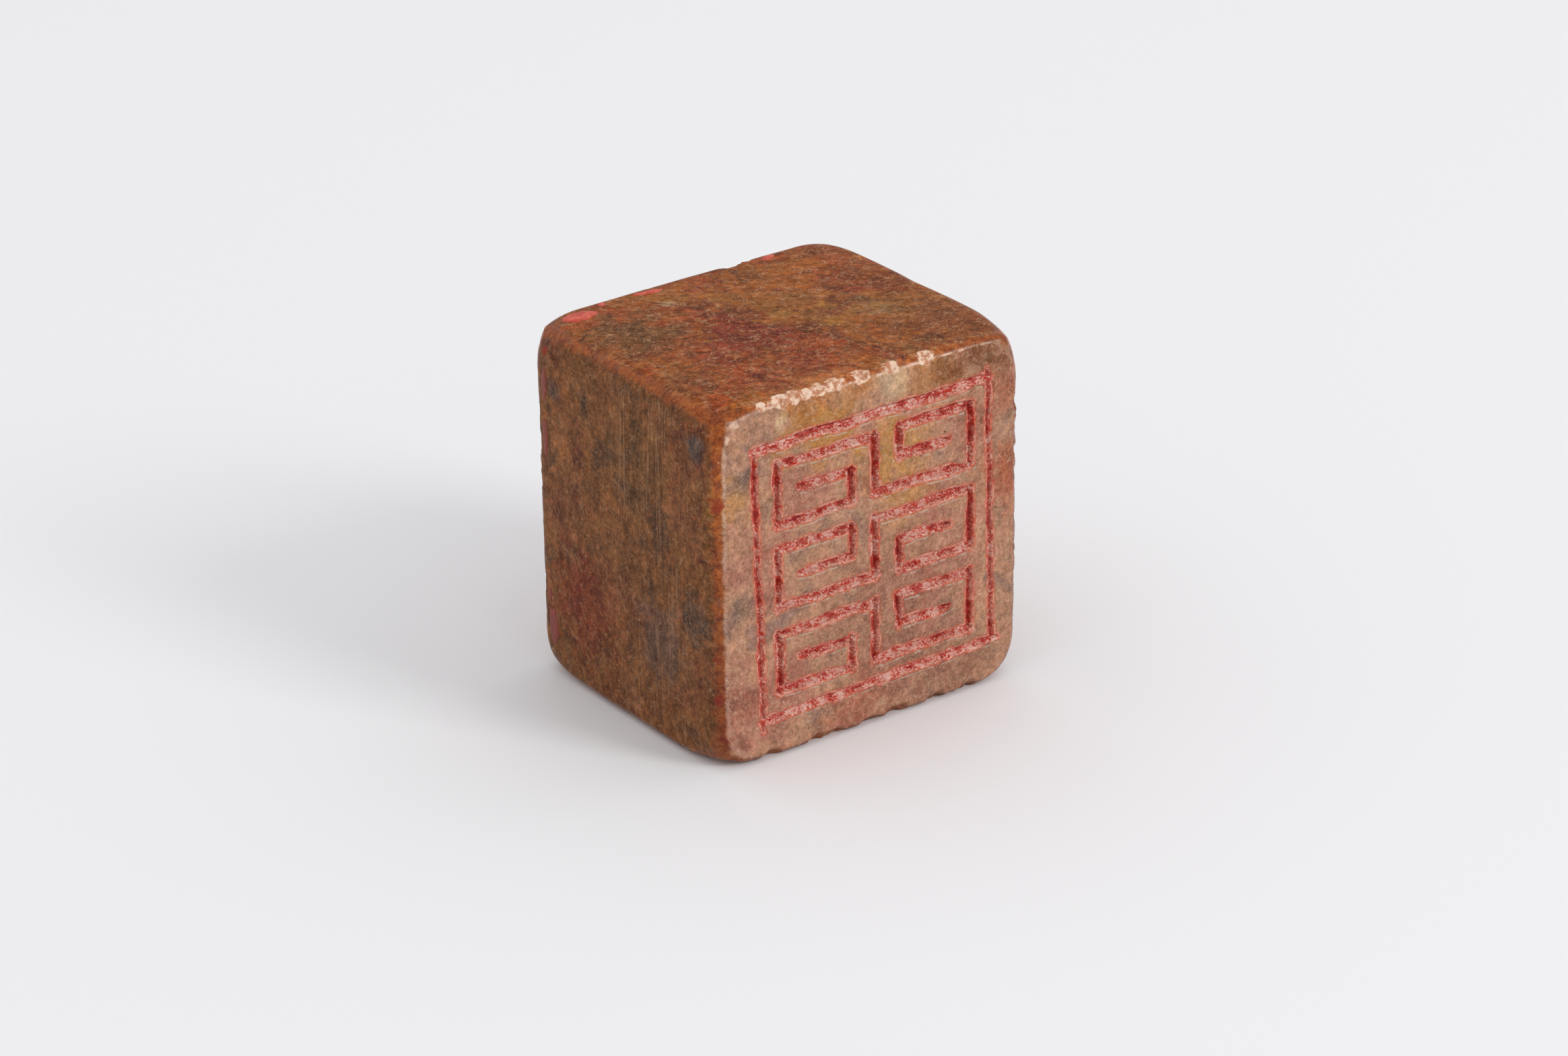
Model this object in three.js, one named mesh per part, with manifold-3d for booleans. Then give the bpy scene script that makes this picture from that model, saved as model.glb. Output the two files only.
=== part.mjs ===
// A hand-cut soapstone seal with its dried cinnabar paste.
//
// One solid block of mottled brown stone carries the cutting on its front face: a hand-cut
// square frame round three rows of squared fretwork. The paste that the seal was last inked
// with has dried in the bottom of the cuts and as crusts on two of the back edges.
//
// Millimetres. X runs across the carved face, Y from the carved face to the back, Z up.
// The origin is the middle of the base. The carved face is the -Y side.

import * as THREE from 'three';
import { mergeVertices } from 'three/addons/utils/BufferGeometryUtils.js';
import Module from 'manifold-3d';

const wasm = await Module();
wasm.setup();

// Block
const blockWidth = 31.7;
const blockDepth = 26.8;
const blockHeight = 32;

// Edge roundings of the upright edges, seen from above
const frontLeftRadius = 1.4;
const frontRightRadius = 1.3;
const backRightRadius = 2.8;
const backLeftRadius = 1.9;

// Edge roundings seen from the front
const topLeftRadius = 1.4;
const topRightRadius = 1.6;
const bottomRightRadius = 2.4;
const bottomLeftRadius = 1.1;

// Edge roundings seen from the side
const topFrontRadius = 0.9;
const topBackRadius = 1.3;
const bottomBackRadius = 1.0;
const bottomFrontRadius = 0.8;

// Hand grinding left four of the sides slightly crowned
const rightCrown = 0.26;
const leftCrown = 0.26;
const backCrown = 0.34;
const topCrown = 0.17;

// How far inside the block's longest diagonal the worn corners lie
const cornerWear = 2.05;

// Frame groove: the distance of its centre line from the block's edges
const frameLeftMargin = 4.3;
const frameRightMargin = 3.7;
const frameTopMargin = 4.0;
const frameBottomMargin = 4.0;
const frameMouthWidth = 0.66;
const frameFloorWidth = 0.44;
const frameDepth = 0.45;

// The frame isn't square: how far its lower corners lie to the right of the upper ones, how
// much each level line climbs from left to right, and how far the knife ran past a corner
const frameLean = 0.55;
const frameTopClimb = 0.12;
const frameBottomClimb = 0.4;
const knifeOverrun = 0.8;

// Fretwork
const fretRows = 3;
const fretSideMargin = 1.75;
const fretEndMargin = 1.75;
const fretRowGap = 2.3;
const fretPitch = 2.4;
const fretMouthWidth = 0.76;
const fretFloorWidth = 0.48;
const fretDepth = 0.6;
const fretHandWander = 0.16;

// Dried paste in the cuts
const pasteThickness = 0.12;
const pasteSideClearance = 0.03;

// Dried paste on the edges, each crust in its own shallow seat
const seatDepth = 0.12;
const seatClearance = 0.05;
const crustThickness = 0.2;

// How uneven the chips and the crusts are, as a share of their size
const chipUnevenness = 0.12;
const crustUnevenness = 0.07;

// How far a chip spreads over the flats beside its edge's rounding
const chipSpread = 1.1;

// Half widths
const halfWidth = blockWidth / 2;
const halfDepth = blockDepth / 2;

// How far a cutting tool stands clear of the surface that it cuts
const toolRun = 0.3;

// Colours
const stoneColour = 0x8b563c;
const groovePasteColour = 0xb5473f;
const crustColour = 0xc2402f;

// A repeatable random number from 0 to 1
function handOf(seed) {
  let state = seed;
  return () => {
    state = (state + 0x6d2b79f5) | 0;
    let mixed = Math.imul(state ^ (state >>> 15), 1 | state);
    mixed = (mixed + Math.imul(mixed ^ (mixed >>> 7), 61 | mixed)) ^ mixed;
    return ((mixed ^ (mixed >>> 14)) >>> 0) / 4294967296;
  };
}

// A closed geometry as a solid that can be joined and cut
function toSolid(geometry) {
  geometry.deleteAttribute('normal');
  geometry.deleteAttribute('uv');
  const merged = mergeVertices(geometry, 1e-4);
  const mesh = new wasm.Mesh({
    numProp: 3,
    vertProperties: new Float32Array(merged.attributes.position.array),
    triVerts: new Uint32Array(merged.index.array),
  });
  return new wasm.Manifold(mesh);
}

// A solid back as a geometry
function toGeometry(solid) {
  const mesh = solid.getMesh();
  const geometry = new THREE.BufferGeometry();
  geometry.setAttribute('position', new THREE.BufferAttribute(new Float32Array(mesh.vertProperties), 3));
  geometry.setIndex(new THREE.BufferAttribute(new Uint32Array(mesh.triVerts), 1));
  geometry.computeVertexNormals();
  return geometry;
}

function joined(solids) {
  return solids.reduce((whole, next) => whole.add(next));
}

// An outline drawn on the axes u and v, run along their common normal from start to end
function extruded(shape, start, end, u, v) {
  const along = new THREE.Vector3().crossVectors(u, v);
  const geometry = new THREE.ExtrudeGeometry(shape, {
    depth: end - start,
    bevelEnabled: false,
    curveSegments: 6,
  });
  geometry.translate(0, 0, start);
  geometry.applyMatrix4(new THREE.Matrix4().makeBasis(u, v, along));
  return toSolid(geometry);
}

const axisX = new THREE.Vector3(1, 0, 0);
const axisY = new THREE.Vector3(0, 1, 0);
const axisZ = new THREE.Vector3(0, 0, 1);

// A four-sided outline with rounded corners. Corners go round anticlockwise from the lower
// left. The crown of side i, from corner i to corner i + 1, is how far its middle swells out
// past its ends.
function crownedOutline(corners, radii, crowns) {
  const arcHandle = 0.5523;
  const points = corners.map(([u, v]) => new THREE.Vector2(u, v));
  const shape = new THREE.Shape();
  const count = points.length;
  points.forEach((corner, i) => {
    const before = points[(i + count - 1) % count];
    const after = points[(i + 1) % count];
    const inDirection = before.clone().sub(corner).normalize();
    const outDirection = after.clone().sub(corner).normalize();
    const radius = radii[i];
    const arcStart = corner.clone().addScaledVector(inDirection, radius);
    const arcEnd = corner.clone().addScaledVector(outDirection, radius);
    const sideEnd = after.clone().addScaledVector(outDirection, -radii[(i + 1) % count]);
    const startHandle = arcStart.clone().addScaledVector(inDirection, -radius * arcHandle);
    const endHandle = arcEnd.clone().addScaledVector(outDirection, -radius * arcHandle);
    if (i === 0) {
      shape.moveTo(arcStart.x, arcStart.y);
    }
    shape.bezierCurveTo(startHandle.x, startHandle.y, endHandle.x, endHandle.y, arcEnd.x, arcEnd.y);
    if (crowns[i] > 0) {
      const outward = new THREE.Vector2(outDirection.y, -outDirection.x);
      const peak = arcEnd.clone().add(sideEnd).multiplyScalar(0.5).addScaledVector(outward, 2 * crowns[i]);
      shape.quadraticCurveTo(peak.x, peak.y, sideEnd.x, sideEnd.y);
    } else {
      shape.lineTo(sideEnd.x, sideEnd.y);
    }
  });
  return shape;
}

// The block: three rounded outlines that meet, with the corners worn to one sphere
function makeBlank() {
  const left = -halfWidth + leftCrown;
  const right = halfWidth - rightCrown;
  const back = halfDepth - backCrown;
  const top = blockHeight - topCrown;
  const plan = crownedOutline(
    [[left, -halfDepth], [right, -halfDepth], [right, back], [left, back]],
    [frontLeftRadius, frontRightRadius, backRightRadius, backLeftRadius],
    [0, rightCrown, backCrown, leftCrown],
  );
  const front = crownedOutline(
    [[left, 0], [right, 0], [right, top], [left, top]],
    [bottomLeftRadius, bottomRightRadius, topRightRadius, topLeftRadius],
    [0, rightCrown, topCrown, leftCrown],
  );
  const side = crownedOutline(
    [[-halfDepth, 0], [back, 0], [back, top], [-halfDepth, top]],
    [bottomFrontRadius, bottomBackRadius, topBackRadius, topFrontRadius],
    [0, backCrown, topCrown, 0],
  );
  const diagonal = Math.hypot(halfWidth, halfDepth, blockHeight / 2);
  const worn = new THREE.SphereGeometry(diagonal - cornerWear, 72, 48);
  worn.translate(0, 0, blockHeight / 2);
  return extruded(plan, 0, blockHeight, axisX, axisY)
    .intersect(extruded(front, -halfDepth, halfDepth, axisX, axisZ))
    .intersect(extruded(side, -halfWidth, halfWidth, axisY, axisZ))
    .intersect(toSolid(worn));
}

// The edges that are chipped. at is a point on the edge's sharp line, run its direction,
// inward the diagonal into the stone and radius the edge's rounding.
const edges = {
  carvedBottom: {
    at: [0, -halfDepth, 0], run: [1, 0, 0], inward: [0, 1, 1], radius: bottomFrontRadius,
  },
  carvedTop: {
    at: [0, -halfDepth, blockHeight - topCrown], run: [1, 0, 0], inward: [0, 1, -1], radius: topFrontRadius,
  },
  carvedRight: {
    at: [halfWidth - rightCrown / 2, -halfDepth, 0], run: [0, 0, 1], inward: [-1, 1, 0], radius: frontRightRadius,
  },
  backLeft: {
    at: [-halfWidth + leftCrown, halfDepth - backCrown, 0], run: [0, 0, 1], inward: [1, -1, 0], radius: backLeftRadius,
  },
  backTop: {
    at: [0, halfDepth - backCrown / 4, blockHeight], run: [1, 0, 0], inward: [0, -1, -1], radius: topBackRadius,
  },
};

// The part of a scoop's width that is left on the surface when it bites in by a third
const scoopShare = Math.sqrt(1 - (2 / 3) ** 2);

// One chip: an uneven scoop of the given length along the edge, biting in past the rounding
function chip(edge, place, length, bite, turn) {
  const { at, run, inward, radius } = edge;
  const inDirection = new THREE.Vector3(...inward).normalize();
  const runDirection = new THREE.Vector3(...run);
  const across = new THREE.Vector3().crossVectors(inDirection, runDirection);
  const reach = 3 * bite;
  const halfLength = length / 2 / scoopShare;
  const halfAcross = Math.min(0.7 * length, chipSpread + radius) / scoopShare;
  const scoop = new THREE.IcosahedronGeometry(1, 1);
  const corners = scoop.attributes.position;
  const corner = new THREE.Vector3();
  for (let i = 0; i < corners.count; i += 1) {
    corner.fromBufferAttribute(corners, i);
    const waves = Math.sin(5 * corner.x + turn) + Math.sin(5 * corner.y + 2 * turn);
    corner.multiplyScalar(1 + chipUnevenness * waves);
    corners.setXYZ(i, corner.x, corner.y, corner.z);
  }
  scoop.rotateX(turn);
  scoop.scale(reach, halfLength, halfAcross);
  scoop.applyMatrix4(new THREE.Matrix4().makeBasis(inDirection, runDirection, across));
  const centre = new THREE.Vector3(...at)
    .addScaledVector(runDirection, place)
    .addScaledVector(inDirection, radius * (Math.SQRT2 - 1) + bite - reach);
  scoop.translate(centre.x, centre.y, centre.z);
  return toSolid(scoop);
}

// A run of uneven chips between two places on an edge
function chipRun(edge, from, to, count, longest, deepest, seed) {
  const hand = handOf(seed);
  const step = (to - from) / count;
  return Array.from({ length: count }, (_, i) => {
    const place = from + step * (i + 0.2 + 0.6 * hand());
    const length = longest * (0.6 + 0.4 * hand());
    const bite = deepest * (0.5 + 0.5 * hand());
    return chip(edge, place, length, bite, hand() * Math.PI);
  });
}

// Places on the level edges count from the middle of the block, and on the upright edges
// up from the base
function edgeChips() {
  return [
    ...chipRun(edges.carvedBottom, -12, 11.5, 11, 3.0, 0.32, 11),
    ...chipRun(edges.carvedTop, -10, 5.5, 9, 1.5, 0.16, 23),
    ...chipRun(edges.carvedRight, 14.5, 28, 6, 3.2, 0.36, 37),
    ...chipRun(edges.backLeft, 3.5, 25.5, 9, 3.0, 0.3, 41),
    ...chipRun(edges.backTop, -1.5, 3, 3, 2.0, 0.22, 59),
    chip(edges.backLeft, 21, 3.0, 0.5, 0.4),
    chip(edges.backLeft, 17.6, 2.4, 0.45, 1.1),
    chip(edges.backTop, -3.4, 3.6, 0.42, 0.2),
    chip(edges.backTop, 4.4, 3.2, 1.05, 0.9),
    chip(edges.backTop, 6.3, 2.4, 0.8, 0.3),
  ];
}

// A straight cut with sloping walls and ends on the carved face. Its mouth width is reached
// at the face and its floor width at the floor. nearY and farY are where the solid starts
// and stops, so the same function makes the tool and the paste that lies in the cut.
function stroke([fromX, fromZ], [toX, toZ], nearWidth, farWidth, nearY, farY) {
  const along = new THREE.Vector2(toX - fromX, toZ - fromZ).normalize();
  const side = new THREE.Vector2(-along.y, along.x);
  const positions = [];
  [[nearY, nearWidth / 2], [farY, farWidth / 2]].forEach(([y, half]) => {
    [[0, -1], [1, -1], [1, 1], [0, 1]].forEach(([atEnd, sideSign]) => {
      const endSign = atEnd ? 1 : -1;
      const x = (atEnd ? toX : fromX) + along.x * half * endSign + side.x * half * sideSign;
      const z = (atEnd ? toZ : fromZ) + along.y * half * endSign + side.y * half * sideSign;
      positions.push(x, y, z);
    });
  });
  const geometry = new THREE.BufferGeometry();
  geometry.setAttribute('position', new THREE.Float32BufferAttribute(positions, 3));
  geometry.setIndex([
    0, 1, 2, 0, 2, 3,
    4, 6, 5, 4, 7, 6,
    0, 5, 1, 0, 4, 5,
    1, 6, 2, 1, 5, 6,
    2, 7, 3, 2, 6, 7,
    3, 4, 0, 3, 7, 4,
  ]);
  return toSolid(geometry);
}

// The tool that cuts a set of strokes into the carved face
function cutTool(strokes, mouthWidth, floorWidth, depth) {
  const face = -halfDepth;
  const nearWidth = mouthWidth + ((mouthWidth - floorWidth) * toolRun) / depth;
  return joined(strokes.map(([from, to]) => (
    stroke(from, to, nearWidth, floorWidth, face - toolRun, face + depth)
  )));
}

// The paste that dried on the floor of the same strokes
function floorPaste(strokes, floorWidth, depth) {
  const floor = -halfDepth + depth;
  const width = floorWidth - 2 * pasteSideClearance;
  return joined(strokes.map(([from, to]) => (
    stroke(from, to, width, width, floor - pasteThickness, floor)
  )));
}

// The four corners where the frame's centre lines cross
const frameCorners = {
  topLeft: [-halfWidth + frameLeftMargin - frameLean / 2, blockHeight - frameTopMargin - frameTopClimb / 2],
  topRight: [halfWidth - frameRightMargin - frameLean / 2, blockHeight - frameTopMargin + frameTopClimb / 2],
  bottomRight: [halfWidth - frameRightMargin + frameLean / 2, frameBottomMargin + frameBottomClimb / 2],
  bottomLeft: [-halfWidth + frameLeftMargin + frameLean / 2, frameBottomMargin - frameBottomClimb / 2],
};

// The point that lies the given distance past b on the line from a to b
function past(a, b, distance) {
  const length = Math.hypot(b[0] - a[0], b[1] - a[1]);
  return [b[0] + ((b[0] - a[0]) * distance) / length, b[1] + ((b[1] - a[1]) * distance) / length];
}

function frameStrokes() {
  const { topLeft, topRight, bottomRight, bottomLeft } = frameCorners;
  return [
    [topLeft, topRight],
    [past(bottomRight, topRight, knifeOverrun), bottomRight],
    [past(bottomLeft, bottomRight, knifeOverrun / 2), bottomLeft],
    [past(topLeft, bottomLeft, knifeOverrun), topLeft],
  ];
}

// One row of fretwork: an upright spine with a squared hook turned in at each end. Rows
// alternate in hand, and each corner wanders a little, as a hand-held knife does.
function fretStrokes(row) {
  const hand = handOf(101 + row);
  const left = frameCorners.bottomLeft[0] + fretSideMargin;
  const right = frameCorners.topRight[0] - fretSideMargin;
  const bottom = frameCorners.bottomRight[1] + fretEndMargin;
  const top = frameCorners.topLeft[1] - fretEndMargin;
  const middle = (left + right) / 2;
  const halfRow = (right - left) / 2;
  const rowHeight = (top - bottom - fretRowGap * (fretRows - 1)) / fretRows;
  const rowBottom = bottom + (rowHeight + fretRowGap) * row;
  const turn = row % 2 ? -1 : 1;
  const hook = [
    [0, 1],
    [-halfRow, 1],
    [-halfRow, 0],
    [-fretPitch, 0],
    [-fretPitch, 0.5],
    [-halfRow + fretPitch, 0.5],
  ];
  const mirrored = hook.map(([x, level]) => [-x, 1 - level]);
  const path = [...hook.reverse(), ...mirrored].map(([x, level]) => [
    middle + turn * x + fretHandWander * (hand() - 0.5),
    rowBottom + rowHeight * level + fretHandWander * (hand() - 0.5),
  ]);
  return path.slice(1).map((point, i) => [path[i], point]);
}

// An uneven round crust, grown by an allowance all round
function crustOutline(length, width, allowance, seed) {
  const hand = handOf(seed);
  const phases = [hand(), hand(), hand()].map((share) => share * 2 * Math.PI);
  const pointCount = 16;
  const widest = 1 + 2 * crustUnevenness;
  const points = Array.from({ length: pointCount }, (_, i) => {
    const angle = (i / pointCount) * 2 * Math.PI;
    const waves = phases.reduce((sum, phase, n) => sum + Math.sin((n + 2) * angle + phase) / (n + 1), 0);
    const share = (1 + crustUnevenness * waves) / widest;
    return new THREE.Vector2(
      ((length / 2) * share + allowance) * Math.cos(angle),
      ((width / 2) * share + allowance) * Math.sin(angle),
    );
  });
  return new THREE.Shape(points);
}

// The crusts on the top, by their distance from the block's left and back edges
const topCrusts = [
  { name: 'paste_blob_top_corner', left: 3.75, back: 3.0, length: 3.2, width: 1.9, tilt: -0.08, seed: 5 },
  { name: 'paste_dot_top_edge', left: 6.65, back: 1.9, length: 0.9, width: 0.6, tilt: 1.1, seed: 6 },
  { name: 'paste_streak_top_edge', left: 11.2, back: 2.15, length: 2.7, width: 0.8, tilt: -0.18, seed: 7 },
  { name: 'paste_smear_top_notch', left: 23.8, back: 1.95, length: 1.5, width: 0.8, tilt: 0.5, seed: 8 },
];

// The crusts on the left side, one above the other at the back edge, by their height
const leftCrusts = [
  { name: 'paste_patch_upper', height: blockHeight - 5.3, length: 2.9, width: 0.8, seed: 15 },
  { name: 'paste_patch_middle', height: blockHeight - 10.1, length: 3.3, width: 0.75, seed: 16 },
  { name: 'paste_speck_lower', height: 7.4, length: 1.1, width: 0.55, seed: 17 },
  { name: 'paste_patch_lower', height: 4.6, length: 3.3, width: 1.4, seed: 18 },
];

// How far a crowned side has fallen away at a place, counted from the side's middle
function crownFall(crown, u, halfU, v, halfV) {
  return crown * Math.max((u / halfU) ** 2, (v / halfV) ** 2);
}

// A prism of the crust's outline on the top, between two distances above the surface there
function topCrustPrism({ left, back, length, width, tilt, seed }, allowance, low, high) {
  const u = axisX.clone().applyAxisAngle(axisZ, tilt);
  const v = axisY.clone().applyAxisAngle(axisZ, tilt);
  const x = -halfWidth + left;
  const y = halfDepth - back;
  const surface = blockHeight - crownFall(topCrown, x, halfWidth, y, halfDepth);
  const prism = extruded(crustOutline(length, width, allowance, seed), surface + low, surface + high, u, v);
  return prism.translate(x, y, 0);
}

// A prism of the crust's outline on the left side, between two distances out from the
// surface there. It lies just in front of the back edge's rounding.
function leftCrustPrism({ height, length, width, seed }, allowance, low, high) {
  const y = halfDepth - backCrown - backLeftRadius - width / 2 - seatClearance;
  const middle = blockHeight / 2;
  const surface = -halfWidth + crownFall(leftCrown, y, halfDepth, height - middle, middle);
  const prism = extruded(crustOutline(width, length, allowance, seed), surface - high, surface - low, axisY, axisZ);
  return prism.translate(0, y, height);
}

const stoneMaterial = { color: stoneColour, roughness: 0.5, metalness: 0 };
const groovePasteMaterial = { color: groovePasteColour, roughness: 0.75, metalness: 0 };
const crustMaterial = { color: crustColour, roughness: 0.6, metalness: 0 };

const seal = new THREE.Group();

function addPiece(name, solid, finish) {
  const mesh = new THREE.Mesh(toGeometry(solid), new THREE.MeshStandardMaterial(finish));
  mesh.name = name;
  seal.add(mesh);
}

const frame = frameStrokes();
const frets = Array.from({ length: fretRows }, (_, row) => fretStrokes(row));

const cuts = [
  cutTool(frame, frameMouthWidth, frameFloorWidth, frameDepth),
  ...frets.map((strokes) => cutTool(strokes, fretMouthWidth, fretFloorWidth, fretDepth)),
];
const seats = [
  ...topCrusts.map((crust) => topCrustPrism(crust, seatClearance, -seatDepth, toolRun)),
  ...leftCrusts.map((crust) => leftCrustPrism(crust, seatClearance, -seatDepth, toolRun)),
];

addPiece('stone_block', makeBlank().subtract(joined([...edgeChips(), ...cuts, ...seats])), stoneMaterial);

addPiece('paste_in_frame', floorPaste(frame, frameFloorWidth, frameDepth), groovePasteMaterial);
frets.forEach((strokes, row) => {
  addPiece(`paste_in_fret_row_${row + 1}`, floorPaste(strokes, fretFloorWidth, fretDepth), groovePasteMaterial);
});

topCrusts.forEach((crust) => {
  addPiece(crust.name, topCrustPrism(crust, 0, -seatDepth, crustThickness - seatDepth), crustMaterial);
});
leftCrusts.forEach((crust) => {
  addPiece(crust.name, leftCrustPrism(crust, 0, -seatDepth, crustThickness - seatDepth), crustMaterial);
});

export default seal;
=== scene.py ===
# %% [markdown]
# A hand-cut soapstone seal. The real thing is one squat block of mottled brown stone, ground
# flat by hand, with a square frame and squared fretwork cut into one face. Red seal paste, a
# mix of ground cinnabar and oil, has dried in the cuts and in crusts on two of the edges.
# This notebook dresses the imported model: it makes the stone's skin with every chip and knife
# cut, the paste that lies in the cuts, the crusts, and then the finishes and the light.

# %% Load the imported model
import itertools
import math
from functools import partial

import bmesh
import bpy
import numpy as np
from mathutils import Matrix, Vector
from mathutils.bvhtree import BVHTree


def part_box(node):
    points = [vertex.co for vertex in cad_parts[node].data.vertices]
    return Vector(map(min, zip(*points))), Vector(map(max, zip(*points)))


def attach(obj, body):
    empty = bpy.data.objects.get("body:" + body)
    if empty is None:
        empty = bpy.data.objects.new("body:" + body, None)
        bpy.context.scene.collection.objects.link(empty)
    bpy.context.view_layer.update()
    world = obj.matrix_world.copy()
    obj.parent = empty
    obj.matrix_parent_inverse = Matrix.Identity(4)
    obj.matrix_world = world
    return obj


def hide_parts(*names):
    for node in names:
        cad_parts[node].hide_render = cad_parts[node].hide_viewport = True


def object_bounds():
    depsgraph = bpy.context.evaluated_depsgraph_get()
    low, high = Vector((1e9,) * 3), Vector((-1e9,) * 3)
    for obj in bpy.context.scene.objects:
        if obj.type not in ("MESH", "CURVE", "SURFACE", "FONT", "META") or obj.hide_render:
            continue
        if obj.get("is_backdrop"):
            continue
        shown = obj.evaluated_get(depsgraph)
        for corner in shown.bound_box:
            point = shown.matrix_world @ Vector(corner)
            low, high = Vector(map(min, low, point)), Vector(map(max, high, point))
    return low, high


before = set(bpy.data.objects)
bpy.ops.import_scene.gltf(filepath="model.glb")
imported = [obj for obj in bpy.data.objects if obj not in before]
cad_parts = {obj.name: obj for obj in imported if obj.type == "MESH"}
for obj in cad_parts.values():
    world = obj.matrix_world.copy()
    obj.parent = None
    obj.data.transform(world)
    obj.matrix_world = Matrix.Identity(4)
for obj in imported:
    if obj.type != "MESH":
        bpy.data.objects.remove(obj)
cad_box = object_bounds()
MM = 0.001
stone_low, stone_high = (np.array(corner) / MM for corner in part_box("stone_block"))
half_width, half_depth = (stone_high[:2] - stone_low[:2]) / 2
height = stone_high[2]
print("stone, mm:", (stone_high - stone_low).round(2))

# %% [markdown]
# The camera. A close-up of something this small is taken with a long lens from half a metre
# or less, so the sides converge a little. The place and the lens below were worked out from
# the block's own edges, and the camera is built from the direction it looks in.

# %% Camera
CAMERA_AZIMUTH, CAMERA_ELEVATION, CAMERA_ROLL = -36.17, 24.92, -0.73
CAMERA_DISTANCE, CAMERA_LENS = 0.4154, 114.3
AIM_RIGHT, AIM_UP = 0.00071, -0.00269
NEAREST_SEEN, FARTHEST_SEEN = 0.02, 20


def place_object(name, data):
    """Puts a new object into the scene."""
    placed = bpy.data.objects.new(name, data)
    bpy.context.scene.collection.objects.link(placed)
    return placed


def direction_at(azimuth, elevation):
    """The direction from the block to a place at these angles, in degrees."""
    a, e = math.radians(azimuth), math.radians(elevation)
    return Vector((math.sin(a) * math.cos(e), -math.cos(a) * math.cos(e), math.sin(e)))


azimuth, roll = math.radians(CAMERA_AZIMUTH), math.radians(CAMERA_ROLL)
back = direction_at(CAMERA_AZIMUTH, CAMERA_ELEVATION)
level = Vector((math.cos(azimuth), math.sin(azimuth), 0))
above = back.cross(level)
right = level * math.cos(roll) + above * math.sin(roll)
up = above * math.cos(roll) - level * math.sin(roll)
middle = Vector((0, 0, height / 2 * MM))
camera = place_object("camera", bpy.data.cameras.new("camera"))
camera.data.lens = CAMERA_LENS
camera.data.clip_start, camera.data.clip_end = NEAREST_SEEN, FARTHEST_SEEN
camera.location = middle + back * CAMERA_DISTANCE + right * AIM_RIGHT + up * AIM_UP
camera.rotation_euler = Matrix((right, up, back)).transposed().to_euler()
bpy.context.scene.camera = camera
print("camera at, mm:", [round(value / MM, 1) for value in camera.location])

# %% [markdown]
# Two small tools for shaping stone by numbers. A hand is a repeatable chain of random
# numbers. Lumps are smooth random values in space: each cell of a grid gets a value and the
# values are blended, which gives the slow waviness of hand work at any size in millimetres.

# %% Random hand and lumps
WORD = 0xFFFFFFFF
HAND_STEP = 0x6D2B79F5
CELL_SCATTER = np.array([73856093, 19349663, 83492791])
SEED_SCATTER, FIRST_MIX, SECOND_MIX = 2654435761, 1274126177, 2246822519


def hand_of(seed):
    """Returns a function that draws repeatable numbers from 0 to 1."""
    state = seed

    def draw():
        nonlocal state
        state = (state + HAND_STEP) & WORD
        mixed = ((state ^ (state >> 15)) * (1 | state)) & WORD
        mixed = ((mixed + (((mixed ^ (mixed >> 7)) * (61 | mixed)) & WORD)) & WORD) ^ mixed
        return (mixed ^ (mixed >> 14)) / (WORD + 1)

    return draw


def lumps(points, size, seed):
    """Smooth random values from -1 to 1 at points in mm, with lumps of that size."""
    place = points / size
    cell = np.floor(place).astype(np.int64)
    part = place - cell
    blend = part * part * (3 - 2 * part)
    total = np.zeros(len(points))
    for corner in itertools.product((0, 1), repeat=3):
        key = (cell + np.array(corner)) @ CELL_SCATTER + seed * SEED_SCATTER
        key = (key ^ (key >> 13)) * FIRST_MIX & WORD
        key = (key ^ (key >> 16)) * SECOND_MIX & WORD
        value = ((key >> 8) & 0xFFFF) / 32767.5 - 1
        total += value * np.prod(np.where(corner, blend, 1 - blend), axis=1)
    return total


def smooth_step(value, low, high):
    """0 below low, 1 above high and a smooth rise between."""
    share = np.clip((value - low) / (high - low), 0, 1)
    return share * share * (3 - 2 * share)


print("a hand draws:", [round(hand_of(seed)(), 3) for seed in range(3)])

# %% [markdown]
# The blank. A seal block is sawn square and ground on a flat stone, which leaves edges of
# different roundness and, on all but the carved face and the base, a slight swell. Three
# outlines, from above, from the front and from the side, each a signed distance, describe it:
# a point is in the stone where it is inside all three and inside the wear of the corners,
# which is one large ball, blended in softly.

# %% Outline of the blank
RIGHT_CROWN, LEFT_CROWN, BACK_CROWN, TOP_CROWN = 0.26, 0.26, 0.34, 0.17
CORNER_WEAR, CORNER_BLEND = 1.75, 1.7
PLAN_RADII = {"back_right": 2.8, "back_left": 1.9, "front_left": 1.4, "front_right": 1.3}
FRONT_RADII = {"top_right": 1.6, "top_left": 1.4, "bottom_left": 1.1, "bottom_right": 2.4}
SIDE_RADII = {"top_back": 1.3, "top_front": 0.9, "bottom_front": 0.8, "bottom_back": 1.0}


def outline_gap(u, v, half_u, half_v, radii, crowns_u, crown_v):
    """Distance outside a rounded outline. Radii go anticlockwise from the corner +u +v."""
    one, two, three, four = radii.values()
    radius = np.where(u > 0, np.where(v > 0, one, four), np.where(v > 0, two, three))
    reach_u = half_u - np.where(u > 0, crowns_u[0], crowns_u[1]) * (v / half_v) ** 2
    reach_v = half_v - np.where(v > 0, crown_v, 0) * (u / half_u) ** 2
    past_u = np.abs(u) - reach_u + radius
    past_v = np.abs(v) - reach_v + radius
    outside = np.hypot(np.maximum(past_u, 0), np.maximum(past_v, 0))
    return np.minimum(np.maximum(past_u, past_v), 0) + outside - radius


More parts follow.
